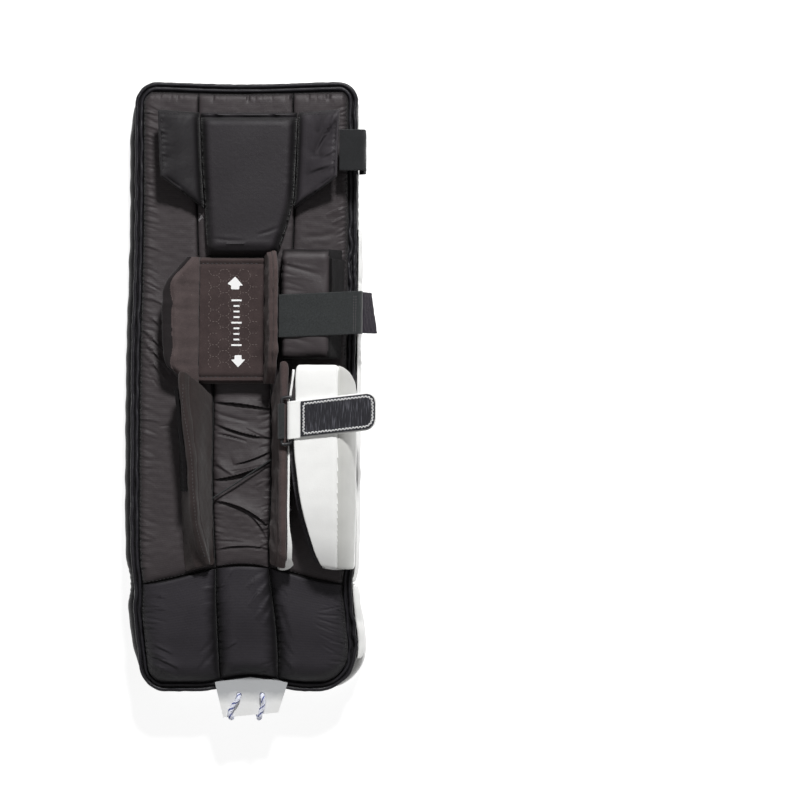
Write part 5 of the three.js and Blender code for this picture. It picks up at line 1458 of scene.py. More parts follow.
def make_cradle_wing(side):
    """It rises from its fold, as far as the table's row says. The medial one leans over the thigh pad."""
    sign = SIGNS[side]
    reach, rise = CRADLE_REACH[side], CRADLE_RISE[side]
    half = CRADLE_THICKNESS / 2
    lean = math.hypot(reach, rise)

    def backing_at(y):
        """How far the dark backing reaches past the suede: most in the middle of the outer wing. Its very
        dark colour is partly its own and partly painted shade.
        """
        along = (CRADLE_END - y) / CRADLE_LENGTH
        return 1.5 + (8 * smoothstep(along, 0.16, 0.36) * smoothstep(1 - along, 0.12, 0.3) if sign < 0 else 0)

    def section(y):
        share = float(read_rows(CRADLE_ROWS, side, (CRADLE_END - y) / CRADLE_LENGTH))
        backing = float(backing_at(y))
        root = np.array([cradle_fold(sign) + sign * (GAP + half), CRADLE_BASE + half])
        tip = root + [sign * reach * share, rise * share]
        along = np.array([sign * reach, rise]) / lean
        across = np.array([-sign * rise, reach]) / lean * half
        suede_end = tip - along * min(backing, lean * share * 0.4)
        return [
            root - [sign * half, half], (root[0] - across[0], root[1] - half), tip - across,
            tip - across * 0.7 + along * half * 0.7, tip + across * 0.1 + along * half * 0.4,
            suede_end + across * 0.1, suede_end + across * 0.5 - along * 0.3, suede_end + across - along * 3,
            root - [sign * half, -half * 0.8],
        ]

    rings = rings_of(spaced(CRADLE_END - CRADLE_LENGTH, CRADLE_END, 1.3), section, count=110, radius=1.8)
    x, y, z = np.moveaxis(rings, -1, 0)
    rise_share = np.clip((z - CRADLE_BASE) / rise, 0, 1)
    near = CRADLE_SLANT[side] * smoothstep(y, CRADLE_END - 4 * CRADLE_THICKNESS, CRADLE_END)
    waves = 0.45 * ripple(y, z + x, 26, seed=73 + sign) + 0.2 * ripple(y, z + x, 11, seed=75 + sign)
    rings = swollen(rings, waves)
    along = np.array([sign * reach, rise]) / lean
    run = (rings[..., 0] - cradle_fold(sign) - sign * (GAP + half)) * along[0]
    run += (rings[..., 2] - CRADLE_BASE - half) * along[1]
    places = rings[..., 1]
    shares = read_rows(CRADLE_ROWS, side, (CRADLE_END - places) / CRADLE_LENGTH)
    backing_in_shade = run > lean * shares - np.minimum(backing_at(places), lean * shares * 0.4) + 0.4
    rings[..., 1] += near * rise_share**2
    name = f"knee_cradle_wing_{side}"
    look = "worn_suede" if side == "lateral" else "edge_suede"
    piece = add_part(name, rings, look)
    # The backing past the suede takes the dark look: partly its own colour, partly painted shade
    if side == "lateral":
        second_look(piece, "binding", backing_in_shade.ravel())
    return piece


def make_knee_block():
    start, end = BLOCK_END - BLOCK_LENGTH, BLOCK_END
    far = BLOCK_START + BLOCK_WIDTH

    def section(y):
        drop = 1 - float(crown(min(y - start, end - y), BLOCK_ROUNDING))
        top = DECK + BLOCK_HEIGHT - BLOCK_ROUNDING * drop
        low_top = max(top, DECK + 6)
        return [(BLOCK_START, DECK), (far + BLOCK_FOOT, DECK), (far, low_top), (BLOCK_START, low_top)]

    rings = rings_of(spaced(start, end, 1.6), section, count=110, radius=6)
    x, y, z = np.moveaxis(rings, -1, 0)
    top = smoothstep(z, DECK + 20, DECK + 34) * smoothstep(far - x, 0, 10)
    ridges = gathers(lambda at: BLOCK_START - 2, start + 6, end - 6, 6.5, 34, 1.5, 1, tilt=-0.12, seed=77)
    relief_here = top * (crease_relief(x, y, ridges) + 0.5 * ripple(x, y, 30, seed=78))
    solid = loft(swollen(rings, relief_here))
    piece = add_piece("knee_block", solid, LOOKS["liner"], ["knee_block"])
    second_look(piece, "loop", ((x > far - 2) & (z < DECK + BLOCK_HEIGHT - 1.5)).ravel())
    return piece


def make_block_patch():
    far = BLOCK_START + BLOCK_WIDTH
    foot, head = np.array([far + BLOCK_FOOT, DECK]), np.array([far, DECK + BLOCK_HEIGHT])
    path = np.array([foot + (head - foot) * share for share in np.linspace(0.06, 0.92, 16)])
    path = path - path_normals(path) * (GAP + 1)
    middle = BLOCK_END - BLOCK_ROUNDING - BLOCK_PATCH_WIDTH / 2
    rings = band(path, 2, BLOCK_PATCH_WIDTH, middle, step=1, wave=0.4, seed=79)
    return add_part("knee_block_loop_patch", rings, "loop")


KNEE_STRAP_START = BLOCK_START - 3
KNEE_STRAP_LEVEL = DECK + BLOCK_HEIGHT + GAP + STRAP_THICKNESS / 2
KNEE_STRAP_OUT = HALF_WIDTH + 6
KNEE_STRAP_SHIFT = math.tan(math.radians(KNEE_STRAP_SKEW)) * (KNEE_STRAP_OUT - KNEE_STRAP_START)


def make_knee_strap():
    path = rounded_path(
        [
            (KNEE_STRAP_START, KNEE_STRAP_LEVEL), (KNEE_STRAP_OUT, KNEE_STRAP_LEVEL),
            (KNEE_STRAP_OUT + 1, KNEE_STRAP_LEVEL - KNEE_STRAP_DROP),
        ],
        5,
    )
    rings = band(path, STRAP_THICKNESS, KNEE_STRAP_WIDTH, KNEE_STRAP_CENTRE, skew=KNEE_STRAP_SKEW, seed=81)
    return add_part("knee_strap", rings, "elastic")


def make_knee_strap_tab():
    """The strap's hook end hangs from the fold and flares away from the pad towards the toe."""
    top = KNEE_STRAP_LEVEL - KNEE_STRAP_DROP - GAP - 0.2

    def section(y):
        k = (y - KNEE_STRAP_CENTRE - KNEE_STRAP_SHIFT) / (KNEE_STRAP_WIDTH - 2)
        flare = 16.5 * (0.77 - 0.46 * k)
        x0 = KNEE_STRAP_OUT + 1
        return [(x0 - 1.9, top), (x0 + flare - 1.9, top - 26), (x0 + flare + 2, top - 25), (x0 + 1.9, top)]

    half = (KNEE_STRAP_WIDTH - 2) / 2
    middle = KNEE_STRAP_CENTRE + KNEE_STRAP_SHIFT
    places = spaced(middle - half, middle + half, 2)
    rings = pillow(rings_of(places, section, count=44, radius=1.4), 1.5)
    fuzz = 0.35 * ripple(rings[..., 1], rings[..., 2], 5, seed=83)
    return add_part("knee_strap_tab", swollen(rings, fuzz), "tab")


# Calf wraps and what is sewn to them

def wrap_root(y, side):
    return float(seam_x(y, side)) + SIGNS[side] * (WRAP_ROOT[side] / 2 + 1)


def wrap_tip(y, side):
    sign = SIGNS[side]
    share = (WRAP_END - y) / WRAP_LENGTH
    height = WRAP_HEIGHT * float(read_rows(WRAP_ROWS[side], "height", share))
    lean = WRAP_LEAN[side] * float(read_rows(WRAP_ROWS[side], "lean", share))
    return np.array([wrap_root(y, side) + sign * lean, DECK + height])


def slanted(rings, side):
    """The thigh end of a wrap is cut aslant: its free edge reaches further than its root."""
    shaped = rings.copy()
    near = smoothstep(rings[..., 1], WRAP_END - 2 * WRAP_SLANT[side], WRAP_END)
    shaped[..., 1] += WRAP_SLANT[side] * near * (rings[..., 2] - DECK) / WRAP_HEIGHT
    return shaped


def flap_section(root, tip, root_width, tip_width):
    """Thick at the root, thinner at the rounded free edge."""
    along = (tip - root) / np.linalg.norm(tip - root)
    across = np.array([-along[1], along[0]])

    def at(share, side):
        width = root_width + (tip_width - root_width) * share
        return root + (tip - root) * share + across * side * width / 2

    turn = np.linspace(0, math.pi, 9)[1:-1]
    rounded = [tip + across * math.cos(a) * tip_width / 2 + along * math.sin(a) * tip_width / 2 for a in turn]
    return np.array(
        [
            root + [root_width / 2, 0], root - [root_width / 2, 0], at(0.5, 1), at(1, 1), *rounded,
            at(1, -1), at(0.5, -1),
        ]
    )


def make_calf_wrap(side):
    sign = SIGNS[side]

    def section(y):
        root = np.array([wrap_root(y, side), DECK])
        return flap_section(root, wrap_tip(y, side), WRAP_ROOT[side], WRAP_TIP)

    rings = rings_of(spaced(WRAP_END - WRAP_LENGTH, WRAP_END, 1.8), section, count=96)
    rings = pillow(rings, 3)
    x, y, z = np.moveaxis(rings, -1, 0)
    crest = z.max(axis=1, keepdims=True)
    below = crest - z
    binding = 0.2 * smoothstep(-below, -9.5, -8.6) * (below > -1)
    inner_face = sign * (x - np.median(x, axis=1, keepdims=True)) < 0
    seam = -0.9 * np.exp(-(((below - 9.6) / 0.8) ** 2)) * inner_face
    waves = 0.5 * ripple(y, z * 1.2, 36, seed=91 + sign) + 0.08 * ripple(y * 1.5, z, 13, seed=93 + sign)
    root_folds = 0.25 * bump(below - 42, 34) * ripple(y * 1.6, z * 0.6, 20, seed=95 + sign)
    rings = slanted(swollen(rings, binding + seam + waves + root_folds), side)
    name = f"calf_wrap_{side}"
    look = "wrap" if side == "lateral" else "edge_suede"
    return add_part(name, rings, look)


def strip_section(path, thickness):
    normals = path_normals(path)
    return np.vstack([path + normals * thickness / 2, (path - normals * thickness / 2)[::-1]])


def outer_strip(side, start, end, height, thickness_at, curl=None):
    """Rings of a strip on the outer face of a wrap, close under its crown."""
    sign = SIGNS[side]

    def section(y):
        thickness = thickness_at(y)
        outer_tip = wrap_tip(y, side) + [sign * WRAP_TIP / 2, 0]
        outer_root = np.array([wrap_root(y, side) + sign * WRAP_ROOT[side] / 2, DECK])
        run = np.linalg.norm(outer_tip - outer_root)
        low, high = max(1 - height / run, 0.06), 0.97
        path = np.array([outer_root + (outer_tip - outer_root) * s for s in np.linspace(low, high, 14)])
        path = path - path_normals(path) * sign * (3 * GAP + thickness / 2)
        if curl is not None:
            path = path + curl(y, np.linspace(0, 1, 14))
        return strip_section(path, thickness)

    return slanted(rings_of(spaced(start, end, 1.8, ease=(0.4, 1)), section), side)


def make_wrap_patch():
    end = WRAP_END - WRAP_SLANT["lateral"] / 2
    rings = outer_strip("lateral", end - WRAP_PATCH_LENGTH, end, WRAP_PATCH_HEIGHT, lambda y: 3.4)
    fuzz = 0.45 * ripple(rings[..., 1], rings[..., 2], 4, seed=101)
    return add_part("calf_wrap_loop_patch", swollen(rings, fuzz), "loop")


def make_wrap_plate():
    """Stands off the wrap at its thigh end. Its toe end is thicker and hooks round the wrap's end."""
    start, end = WRAP_END - WRAP_LENGTH - 3, WRAP_END - 0.03 * WRAP_LENGTH

    def thickness_at(y):
        body = 5.2 - 3.2 * smoothstep(y, start + 30, start + 62)
        foot = 5 * (1 - smoothstep(y, start + 9, start + 17))
        return 0.4 + (body + foot) * crown(y - start, 6)

    def curl(y, up):
        stand = 4 * bump(y - end, 0.3 * WRAP_LENGTH)
        hook = 1 - smoothstep(y, start - 1, start + 16)
        return np.column_stack([stand * up - 8 * hook, 0 * up])

    rings = outer_strip("medial", start, end, PLATE_HEIGHT, thickness_at, curl)
    return add_part("calf_wrap_plate", rings, "leather")


def make_rivet():
    y = WRAP_END - RIVET_ALONG * WRAP_LENGTH
    tip = wrap_tip(y, "medial")
    share = 0.7
    outer_root = wrap_root(y, "medial") + WRAP_ROOT["medial"] / 2
    x = outer_root + (tip[0] + WRAP_TIP / 2 - outer_root) * share + 5 * GAP + 2
    z = DECK + (tip[1] - DECK) * share
    profile = [
        (0, 0.02), (0, 3.2), (0.5, 3.3), (0.9, 3), (1.1, 2.4),
        (1.5, 2.1), (2.1, 1.6), (2.4, 0.9), (2.5, 0.02),
    ]
    turn = np.linspace(0, 2 * math.pi, 29)[:-1]
    rings = np.array(
        [[(x + out, y + r * math.cos(a), z + r * math.sin(a)) for a in turn] for out, r in profile]
    )
    name = "calf_wrap_rivet"
    return add_piece(name, loft(rings), LOOKS["metal"], [name], sharp=35)


def make_calf_cord():
    """Taut across the calf channel, from one wrap's root to the other's."""
    places = [WRAP_END - share * WRAP_LENGTH for share in CORD_ALONG]
    ends = [
        (wrap_root(y, side) - sign * (WRAP_ROOT[side] / 2 + 0.85), y, DECK + 2.5)
        for y, (side, sign) in zip(places, SIGNS.items())
    ]
    path = np.linspace(ends[0], ends[1], 60)
    turn = np.arange(60)
    rings = tube_rings(path, 1 + 0.07 * np.sin(turn * 1.9), sides=10, looped=False)
    return add_part("calf_cord", rings, "elastic")


# Calf guard

def guard_row(y, column):
    return float(read_rows(GUARD_ROWS, column, (GUARD_END - y) / GUARD_LENGTH))


def guard_path(y):
    height = GUARD_HEIGHT * guard_row(y, "height")
    top = WALL_FOOT + height - GUARD_THICKNESS / 2
    reach = GUARD_REACH * guard_row(y, "reach")
    return rounded_path(
        [
            (GUARD_WALL, WALL_FOOT), (GUARD_WALL - 1, WALL_FOOT + height * 0.4),
            (GUARD_WALL - 6, WALL_FOOT + height * 0.7), (GUARD_WALL - GUARD_BEVEL, top),
            (GUARD_WALL - reach, top),
        ],
        GUARD_BEND,
    )


def guard_cut(rings):
    """The thigh end of the guard is cut aslant, furthest at its top."""
    shaped = rings.copy()
    y = rings[..., 1]
    near = smoothstep(y, GUARD_END - 2 * GUARD_SLANT, GUARD_END)
    height = GUARD_HEIGHT * read_rows(GUARD_ROWS, "height", (GUARD_END - y) / GUARD_LENGTH)
    low = np.clip(1 - (rings[..., 2] - WALL_FOOT) / height, 0, 1)
    shaped[..., 1] -= GUARD_SLANT * near * low
    shaped[..., 2] = np.maximum(rings[..., 2], WALL_FOOT)
    return shaped


def make_calf_guard():
    start = GUARD_END - GUARD_LENGTH

    def section(y):
        line = evenly(guard_path(y), 60, closed=False)
        return fillet(strip_section(line, GUARD_THICKNESS), 4, steps=1)

    rings = rings_of(spaced(start, GUARD_END, 1.9), section, count=220)
    x, y, z = np.moveaxis(rings, -1, 0)
    end = np.minimum(y - start, GUARD_END - y)
    drawn = -2.6 * (1 - crown(end, 3.5))
    crease = -1.3 * np.exp(-(((x - (GUARD_WALL - GUARD_BEVEL + 0.5)) / 0.8) ** 2))
    welt = crease * smoothstep(z, 96, 106)
    soft = 0.3 * ripple(y, x + z, 70, seed=111) + 0.08 * ripple(y, x + z, 22, seed=112)
    # Painted shade: the bevel's faces take the greyer copy of the white leather
    shaded_bevel = (x > GUARD_WALL - GUARD_BEVEL + 0.5) & (z > 80)
    rings = guard_cut(swollen(rings, drawn + welt + soft))
    piece = add_part("calf_guard", rings, "leather")
    second_look(piece, "painted_shade_leather", shaded_bevel.ravel())
    return piece


def make_guard_lining():
    start = GUARD_END - GUARD_LENGTH + 3

    def section(y):
        reach = GUARD_REACH * guard_row(y, "reach")
        under = guard_path(y)[-1][1] - GUARD_THICKNESS / 2 - 2 * GAP - LINING_THICKNESS / 2
        free = GUARD_WALL - reach
        line = evenly([(free + reach / 2, under), (free - 6, under)], 30, closed=False)
        return strip_section(line, LINING_THICKNESS)

    rings = rings_of(spaced(start, start + LINING_LENGTH, 1.5), section)
    frill = 0.6 * ripple(rings[..., 1] * 2, rings[..., 0], 12, seed=115)
    rings[..., 2] -= np.abs(frill)
    rings = guard_cut(rings)
    return add_part("calf_guard_lining", rings, "boot")


# White strap with its hook pad, keeper ring and elastic

STRAP_START = GUARD_WALL - GUARD_REACH - 5 - TAB_THICKNESS - 2 * GAP
STRAP_BAR = (STRAP_START + STRAP_FOLD + TAB_THICKNESS / 2, BAR_LEVEL)
ELASTIC_BAR = (STRAP_BAR[0] - KEEPER_OPENING - 2 * BAR_RADIUS, BAR_LEVEL)
STRAP_FAR = STRAP_START + TAB_LENGTH
STRAP_LAY = {"skew": TAB_SKEW, "skew_from": STRAP_START}


def fold_round(bar, radius):
    """Half a turn round a bar, from below it to above it."""
    turn = -math.pi / 2 - np.linspace(0, math.pi, 17)
    return np.column_stack([bar[0] + radius * np.cos(turn), bar[1] + radius * np.sin(turn)])


def make_calf_strap():
    fold = fold_round(STRAP_BAR, STRAP_FOLD)
    tail = [(STRAP_BAR[0] + 2.5, STRAP_BAR[1] - STRAP_FOLD)]
    path = np.vstack([tail, fold, [(STRAP_FAR, fold[-1][1])]])
    rings = band(path, TAB_THICKNESS, TAB_WIDTH, TAB_CENTRE, corner=TAB_CORNER, step=1, wave=0.1, **STRAP_LAY)
    return add_part("calf_strap", rings, "leather")


def make_hook_pad():
    level = BAR_LEVEL + STRAP_FOLD + TAB_THICKNESS / 2 + GAP + 0.9
    path = np.array([(STRAP_START + 16, level), (STRAP_FAR - 1.6, level)])
    rings = band(
        path, 1.8, TAB_WIDTH - 3.2, TAB_CENTRE, corner=TAB_CORNER - 1.6, step=1, wave=0.1, **STRAP_LAY
    )
    return add_part("calf_strap_hook_pad", rings, "hook")


def strap_sheared(points):
    """Moves points that were laid out straight to the strap's skew."""
    moved = np.array(points, float)
    moved[..., 1] += math.tan(math.radians(TAB_SKEW)) * (moved[..., 0] - STRAP_START)
    return moved


def make_keeper():
    long, short, turn_radius = TAB_WIDTH / 2 + 5, KEEPER_OPENING / 2 + BAR_RADIUS, BAR_RADIUS * 1.5
    centre = ((STRAP_BAR[0] + ELASTIC_BAR[0]) / 2, TAB_CENTRE)
    points = []
    for i, (x, y) in enumerate([(short, long), (-short, long), (-short, -long), (short, -long)]):
        inner = (x - math.copysign(turn_radius, x), y - math.copysign(turn_radius, y))
        for k in np.linspace(0, 1, 9):
            angle = (i + k) * math.pi / 2
            corner_x = centre[0] + inner[0] + turn_radius * math.cos(angle)
            corner_y = centre[1] + inner[1] + turn_radius * math.sin(angle)
            points.append((corner_x, corner_y, BAR_LEVEL))
    path = strap_sheared(evenly(points, 160))
    return add_part(
        "calf_strap_keeper", tube_rings(path, BAR_RADIUS, sides=16), "plastic", looped=True
    )


def make_strap_elastic():
    radius = BAR_RADIUS + GAP + STRAP_THICKNESS / 2
    fold = fold_round(ELASTIC_BAR, radius)
    path = np.vstack([[(fold[0][0] + 3, fold[0][1])], fold, [(fold[-1][0] + 3.5, fold[-1][1])]])
    rings = band(path, STRAP_THICKNESS, TAB_WIDTH - 3, TAB_CENTRE, step=1, wave=0.15, seed=121, **STRAP_LAY)
    return add_part("calf_strap_elastic", rings, "elastic")


# Toe bridge and lace

def placed_at_toe(points):
    """Takes points laid out flat from the toe wall to the bridge's slope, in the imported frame."""
    x, y, z = np.moveaxis(np.asarray(points, float), -1, 0)
    slope = math.radians(BRIDGE_SLOPE)
    cos, sin = math.cos(slope), math.sin(slope)
    sloped = np.stack([x, y * cos - z * sin, y * sin + z * cos], axis=-1)
    wall = shape_pad((TOE_NOTCH_SIDE, -HALF_LENGTH, WALL_FOOT))
    return (sloped + wall - np.array([*ROW_ORIGIN, 0]) - (0, 2 * GAP, 0)) * MM


def catmull(points, count):
    """A smooth closed path through points."""
    points = np.asarray(points, float)
    total = len(points)
    path = []
    for k in range(count):
        at = k * total / count
        i, t = int(at), at - int(at)
        p0, p1, p2, p3 = (points[(i + d) % total] for d in (-1, 0, 1, 2))
        square, cube = 2 * p0 - 5 * p1 + 4 * p2 - p3, 3 * p1 - p0 - 3 * p2 + p3
        path.append(0.5 * (2 * p1 + (p2 - p0) * t + square * t**2 + cube * t**3))
    return np.array(path)


def make_toe_lace():
    over, under = BRIDGE_THICKNESS + LACE_RADIUS + GAP, -LACE_RADIUS - GAP
    edge = -BRIDGE_LENGTH - 1.5 - LACE_RADIUS - GAP
    hole = LACE_SPACING / 2
    half = [
        (hole, -12, under - 1.5), (hole, -12, BRIDGE_THICKNESS / 2), (hole + 0.6, -14.5, over + 0.9),
        (hole + 2.5, -24, over + 0.5), (hole + 1.5, edge + 5, over + 0.5),
        (hole, edge + 0.4, BRIDGE_THICKNESS / 2), (hole - 1, edge + 3, under - 1),
        (hole - 3, edge + 14, under - 0.8),
    ]
    path = catmull(half + [(-x, y, z) for x, y, z in reversed(half)], 300)
    slant = 6.5 - 2.5 * np.clip(path[:, 0] / hole, -1, 1)
    path[:, 0] -= slant * smoothstep(-path[:, 1], 14, BRIDGE_LENGTH)
    bend = np.gradient(path, axis=0)
    ahead = bend / np.linalg.norm(bend, axis=1, keepdims=True)
    side = np.cross(ahead, (1, 0, 0.3))
    side /= np.linalg.norm(side, axis=1, keepdims=True)
    up = np.cross(side, ahead)
    turn = 2 * math.pi * np.arange(14) / 14
    radii = LACE_RADIUS * (1.1 + 0.1 * np.cos(3 * turn[None, :] + 0.55 * np.arange(300)[:, None]))
    rings = (
        path[:, None, :]
        + (radii * np.cos(turn))[..., None] * side[:, None, :]
        + (radii * np.sin(turn))[..., None] * up[:, None, :]
    )
    points, faces, corners = loft(rings, looped=True)
    solid = (placed_at_toe(points), faces, corners)
    return add_piece("toe_lace", solid, LOOKS["lace"], ["toe_lace"], shaped=False)


# Stitching and printed marks, laid on a finished piece

def surface_of(piece):
    mesh = piece.data
    points = [v.co.copy() for v in mesh.vertices]
    return BVHTree.FromPolygons(points, [list(p.vertices) for p in mesh.polygons])


def dropped(surface, line):
    """Points of a flat-layout line where they land on a surface from above, with its normals."""
    landed = []
    for x, y, _ in to_row(np.column_stack([line, np.full(len(line), DECK)])):
        place, normal, _, _ = surface.ray_cast(Vector((x, y, 1)), Vector((0, 0, -1)))
        if place is not None:
            landed.append((np.array(place), np.array(normal)))
    return landed


def flat_corners(points, faces):
    """Texture coordinates in millimetres, seen from above."""
    return [(points[k][0] / MM, points[k][1] / MM) for face in faces for k in face]


def thread_solid(starts, ends, normals, radius):
    """Short rounded threads, one from each start to its end, half sunk in the cloth."""
    points, faces = [], []
    sides = 6
    for a, b, n in zip(starts, ends, normals):
        ahead = b - a
        side = np.cross(ahead, n)
        side /= max(np.linalg.norm(side), 1e-12)
        base = len(points)
        for share, fat, rise in ((0, 0.35, -0.6), (0.18, 1, 0.15), (0.82, 1, 0.15), (1, 0.35, -0.6)):
            centre = a + ahead * share + n * radius * rise
            for k in range(sides):
                angle = 2 * math.pi * k / sides
                points.append(centre + fat * radius * (math.cos(angle) * side + math.sin(angle) * n))
        for ring in range(3):
            for k in range(sides):
                low, high = base + ring * sides, base + (ring + 1) * sides
                faces.append((low + k, low + (k + 1) % sides, high + (k + 1) % sides, high + k))
        faces.append(tuple(base + k for k in reversed(range(sides))))
        faces.append(tuple(base + 3 * sides + k for k in range(sides)))
    return np.array(points), faces, flat_corners(points, faces)


def points_along(line, distances):
    """Points of a line at the given distances from its start."""
    line = np.asarray(line, float)
    runs = np.concatenate([[0], np.cumsum(np.linalg.norm(np.diff(line, axis=0), axis=1))])
    return np.stack([np.interp(distances, runs, line[:, k]) for k in range(2)], axis=1)


def stitch(name, piece, lines, look, length=2.4, gap=1.3, radius=0.32, zigzag=0.0, miss=0.0, seed=1):
    """Rows of stitches along flat-layout lines on a piece."""
    surface = surface_of(piece)
    random = np.random.default_rng(seed)
    starts, ends, normals = [], [], []
    for line in lines:
        total = np.linalg.norm(np.diff(np.asarray(line, float), axis=0), axis=1).sum()
        count = max(int(total / (length + gap)), 1)
        begins = np.arange(count) * total / count
        distances = np.stack([begins, begins + length], axis=1).ravel()
        places = points_along(line, distances)
        if zigzag:
            sideways = path_normals(points_along(line, distances + np.tile([0, 0.01], count))) * zigzag
            places = places + sideways * np.where(np.arange(len(places)) % 2, 1, -1)[:, None]
        places = places + random.normal(0, 0.12, places.shape)
        landed = dropped(surface, places)
        for first, second in list(zip(landed, landed[1:]))[:: 1 if zigzag else 2]:
            if random.random() >= miss and np.linalg.norm(second[0] - first[0]) < 3 * (length + gap) * MM:
                starts.append(first[0])
                ends.append(second[0])
                normals.append(first[1])
    solid = thread_solid(starts, ends, normals, radius * MM)
    return add_piece(name, solid, LOOKS[look], shaped=False, sharp=80)


def make_print(name, piece, shapes, look, height):
    """Thin flat marks from closed outlines, laid on a piece."""
    surface = surface_of(piece)
    points, faces = [], []
    for outline in shapes:
        landed = dropped(surface, np.asarray(outline, float))
        base, count = len(points), len(landed)
        points += [place + normal * height * MM for place, normal in landed]
        points += [place - normal * 0.2 * MM for place, normal in landed]
        upper = [base + k for k in range(count)]
        lower = [base + count + k for k in range(count)]
        faces += [tuple(upper), tuple(lower[::-1])]
        for k in range(count):
            beside = (k + 1) % count
            faces.append((upper[k], upper[beside], lower[beside], lower[k]))
    solid = (np.array(points), faces, flat_corners(points, faces))
    return add_piece(name, solid, LOOKS[look], shaped=False)


def side_line(x_at, start, end, step=4):
    places = np.arange(start, end, step)
    return np.column_stack([[float(x_at(y)) for y in places], places])


def cross_line(y, start, end):
    places = np.arange(start, end, 4)
    return np.column_stack([places, np.full(len(places), y)])


def make_rim_stitches():
    """Dark thread just inside the piping, round the liner and the boot."""
    inset = LINER_INSET + 2.2
    for pieces, start, end in (
        (liners, BOOT_BREAK + 4, HALF_LENGTH - THIGH_CORNERS["medial"]),
        (boots, -HALF_LENGTH + TOE_CORNERS["medial"], BOOT_BREAK - 4),
    ):
        for side in SIGNS:
            row = side_line(lambda y: edge_x(y, inset, side), start, end)
            piece = pieces[side]
            stitch(
                f"{piece.name}_stitches", piece, [row], "dark_thread",
                length=2.8, gap=1.8, radius=0.5, seed=301,
            )
    top = HALF_LENGTH - LINER_INSET - SEAM_WIDTH - 2
    for column, (left, right) in COLUMNS.items():
        row = cross_line(top, float(left(top - 20)) + 6, float(right(top - 20)) - 6)
        stitch(
            f"liner_{column}_end_stitches", liners[column], [row], "dark_thread",
            length=3.2, gap=2, radius=0.55, seed=302,
        )
        low = BOOT_BREAK + 2.6
        row = cross_line(low, float(left(low)) + 3, float(right(low)) - 3)
        stitch(
            f"liner_{column}_boot_stitches", liners[column], [row], "dark_thread",
            length=2.6, gap=1.8, radius=0.42, seed=303,
        )


def make_thigh_stitches():
    """Overlocked gutters between the pad and its wings, hems, and frayed ends at the pad's corners."""
    start, end = THIGH_PAD_END - WING_ROOT_LENGTH, THIGH_PAD_END - 3
    for side, sign in SIGNS.items():
        on_pad = side_line(lambda y: thigh_side(y, side) - sign * (GUTTER + 1.5), start - 42, end)
        on_wing = side_line(lambda y: thigh_side(y, side) + sign * (WING_GAP + GUTTER + 1.5), start + 2, end)
        wing = wings[side]
        for name, piece, row, seed in (
            (f"thigh_pad_{side}", thigh_pad, on_pad, 311), (wing.name, wing, on_wing, 312),
        ):
            stitch(
                f"{name}_overlock", piece, [row], "black_thread",
                length=1.9, gap=0.9, radius=0.75, zigzag=1, seed=seed,
            )
        far = thigh_side(THIGH_PAD_END - 10, side) + sign * (WING_GAP + WING_REACH - 4.4)
        hem = [
            cross_line(THIGH_PAD_END - 4.4, *sorted([float(far), float(thigh_side(end, side)) + sign * 5])),
            side_line(
                lambda y: thigh_side(y, side) + sign * (WING_GAP + WING_REACH - 4.4),
                THIGH_PAD_END - WING_LENGTH + 6, end - 3,
            ),
        ]
        stitch(
            f"{wing.name}_hem", wing, hem, "dark_thread",
            length=2.2, gap=1.4, radius=0.36, seed=313,
        )
    frays = {
        "lateral": [((197, 212), (201, 218)), ((199, 216), (196, 220))],
        "medial": [
            ((288, 213), (285, 221)), ((285, 219), (290, 216)),
            ((282, 230), (279, 237)), ((283, 226), (285, 232)),
        ],
    }
    for side, lines in frays.items():
        rows = [evenly(photo_line(*line, level=80), 5, closed=False) for line in lines]
        stitch(
            f"liner_{side}_fray", liners["centre"], rows, "frayed",
            length=1.6, gap=0.3, radius=0.3, zigzag=1.3, seed=314,
        )


def make_cradle_marks():
    """Stitched hems, a honeycomb of thin lines, two arrows and plain scale ticks between them."""
    start, end = CRADLE_END - CRADLE_LENGTH, CRADLE_END
    left, right = cradle_fold(-1) + 2, cradle_fold(1) - 2
    hems = [cross_line(at, left, right) for at in (start + 7.5, end - 7.5)]
    stitch(
        "cradle_hem_stitches", cradle, hems, "lock_thread",
        length=3, gap=2, radius=0.5, seed=321,
    )

    size = HONEYCOMB_SIDE
    random = np.random.default_rng(322)
    edges = []
    for i in range(7):
        for j in range(10):
            row = math.sqrt(3) * size * (j + 0.5 * (i % 2))
            centre = np.array([left + 4 + 1.5 * size * i, start + 18 + row])
            turn = np.radians(60 * np.arange(4))
            ring = centre + size * np.column_stack([np.cos(turn), np.sin(turn)])
            for a, b in zip(ring, ring[1:]):
                inside = left + 3 < min(a[0], b[0]) and max(a[0], b[0]) < right - 3
                inside = inside and max(a[1], b[1]) < end - 14
                if inside and random.random() > 0.05:
                    edges.append(np.array([a, b]))
    stitch(
        "cradle_honeycomb", cradle, edges, "hexes",
        length=2.75, gap=0.03, radius=0.3, miss=0.04, seed=323,
    )

    level = DECK + 18
    up = [(235, 276), (243, 285), (239.2, 285), (239.2, 288.8), (230.8, 288.8), (230.8, 285), (227, 283.2)]
    down = [
        (238.3, 366.8), (231, 359), (234.7, 358.9), (234.7, 354.7),
        (241.8, 354.7), (241.8, 358.9), (245.6, 358.9),
    ]
    shapes = [photo_line(*up, level=level), photo_line(*down, level=level)]
    for k, y in enumerate(np.arange(299, 346, 5.6)):
        half = 5.2 if k % 4 == 0 else 3
        x0, x1, y1 = 236.5 - half, 236.5 + half, y + 1.7
        shapes.append(photo_line((x0, y), (x1, y), (x1, y1), (x0, y1), level=level))
    shapes = [evenly(shape, 28) for shape in shapes]
    make_print("cradle_scale", cradle, shapes, "print", height=0.45)


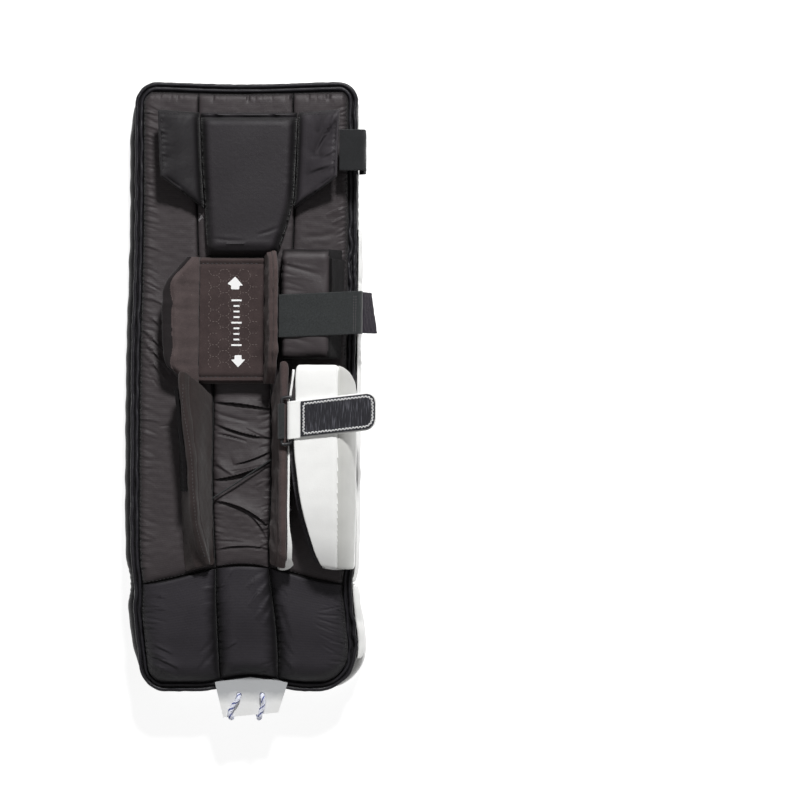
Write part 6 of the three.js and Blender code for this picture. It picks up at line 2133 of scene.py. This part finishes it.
def make_strap_stitches():
    """White zigzag round the hook pad, and rows at the knee strap's end."""
    left, right, half = STRAP_START + 19.5, STRAP_FAR - 4.6, TAB_WIDTH / 2 - 4.6
    round_corner = 8.5
    outline = [(left, -half), (right - round_corner, -half)]
    for angle in np.linspace(-90, 90, 13):
        centre_y = (half - round_corner) * np.sign(angle)
        x = right - round_corner + round_corner * math.cos(math.radians(angle))
        y = centre_y + round_corner * math.sin(math.radians(angle))
        outline.append((x, y))
    outline += [(left, half), (left, -half)]
    rows = [strap_sheared(np.array(outline) + (0, TAB_CENTRE))]
    stitch(
        "hook_pad_stitches", hook_pad, rows, "white_thread",
        length=2.8, gap=1.1, radius=0.68, zigzag=1.3, seed=331,
    )
    middle = KNEE_STRAP_CENTRE + KNEE_STRAP_SHIFT
    rows = [side_line(lambda y: KNEE_STRAP_OUT - inset, middle - 22, middle + 22, 2) for inset in (6, 8.4)]
    stitch(
        "knee_strap_stitches", knee_strap, rows, "grey_thread",
        length=2, gap=1.2, radius=0.4, seed=332,
    )


def make_wrap_stitches():
    """A row along the free edge of each wrap, and along the guard's lining."""
    start, end = WRAP_END - WRAP_LENGTH + 12, WRAP_END + 16
    for side, inward in (("lateral", 1.4), ("medial", -2)):
        row = side_line(lambda y: wrap_tip(min(y, WRAP_END), side)[0] + inward, start, end)
        stitch(
            f"calf_wrap_{side}_stitches", wraps[side], [row], "lock_thread",
            length=2.6, gap=1.6, radius=0.4, seed=341,
        )
    begin = GUARD_END - GUARD_LENGTH + 8
    row = side_line(lambda y: GUARD_WALL - GUARD_REACH * guard_row(y, "reach") - 3.6, begin, begin + 168)
    stitch(
        "guard_lining_stitches", lining, [row], "dark_thread",
        length=2.4, gap=1.4, radius=0.5, zigzag=0.5, seed=342,
    )


# The whole pad

make_camera()
make_studio()
make_front_shell()
make_lateral_roll()
make_core()
make_side_panel(
    "medial_side_panel", BOOT_BREAK + 2, SIDE_PANEL_END, SIDE_PANEL_THICKNESS,
    [(33, 2.2, 2.4), (24, 1.6, 1.4), (43, 1.5, 1.6), (52, 2, 0.9), (120, 2.5, 1.1), (-90, 5, 0.8)],
)
make_side_panel(
    "boot_side_panel", BOOT_BREAK - 2 - BOOT_PANEL_LENGTH, BOOT_BREAK - 2, BOOT_PANEL_THICKNESS,
    [(-270, 6, 0.8)],
)
make_piping("rim_piping_outer", PIPING_RADIUS, 201)
make_piping("rim_piping_inner", 3 * PIPING_RADIUS + GAP, 203)
liners = {column: make_liner(column) for column in COLUMNS}
boots = {column: make_boot_liner(column) for column in COLUMNS}
thigh_pad = make_thigh_pad()
wings = {side: make_thigh_wing(side) for side in SIGNS}
make_thigh_strap()
cradle = make_cradle_pad()
for side in SIGNS:
    make_cradle_wing(side)
make_knee_block()
make_block_patch()
knee_strap = make_knee_strap()
make_knee_strap_tab()
wraps = {side: make_calf_wrap(side) for side in SIGNS}
make_wrap_patch()
make_wrap_plate()
make_rivet()
make_calf_cord()
make_calf_guard()
lining = make_guard_lining()
make_calf_strap()
hook_pad = make_hook_pad()
make_keeper()
make_strap_elastic()
make_toe_lace()
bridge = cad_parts["toe_bridge"]
bridge.data.materials.clear()
bridge.data.materials.append(LOOKS["bridge"])
make_rim_stitches()
make_thigh_stitches()
make_cradle_marks()
make_strap_stitches()
make_wrap_stitches()
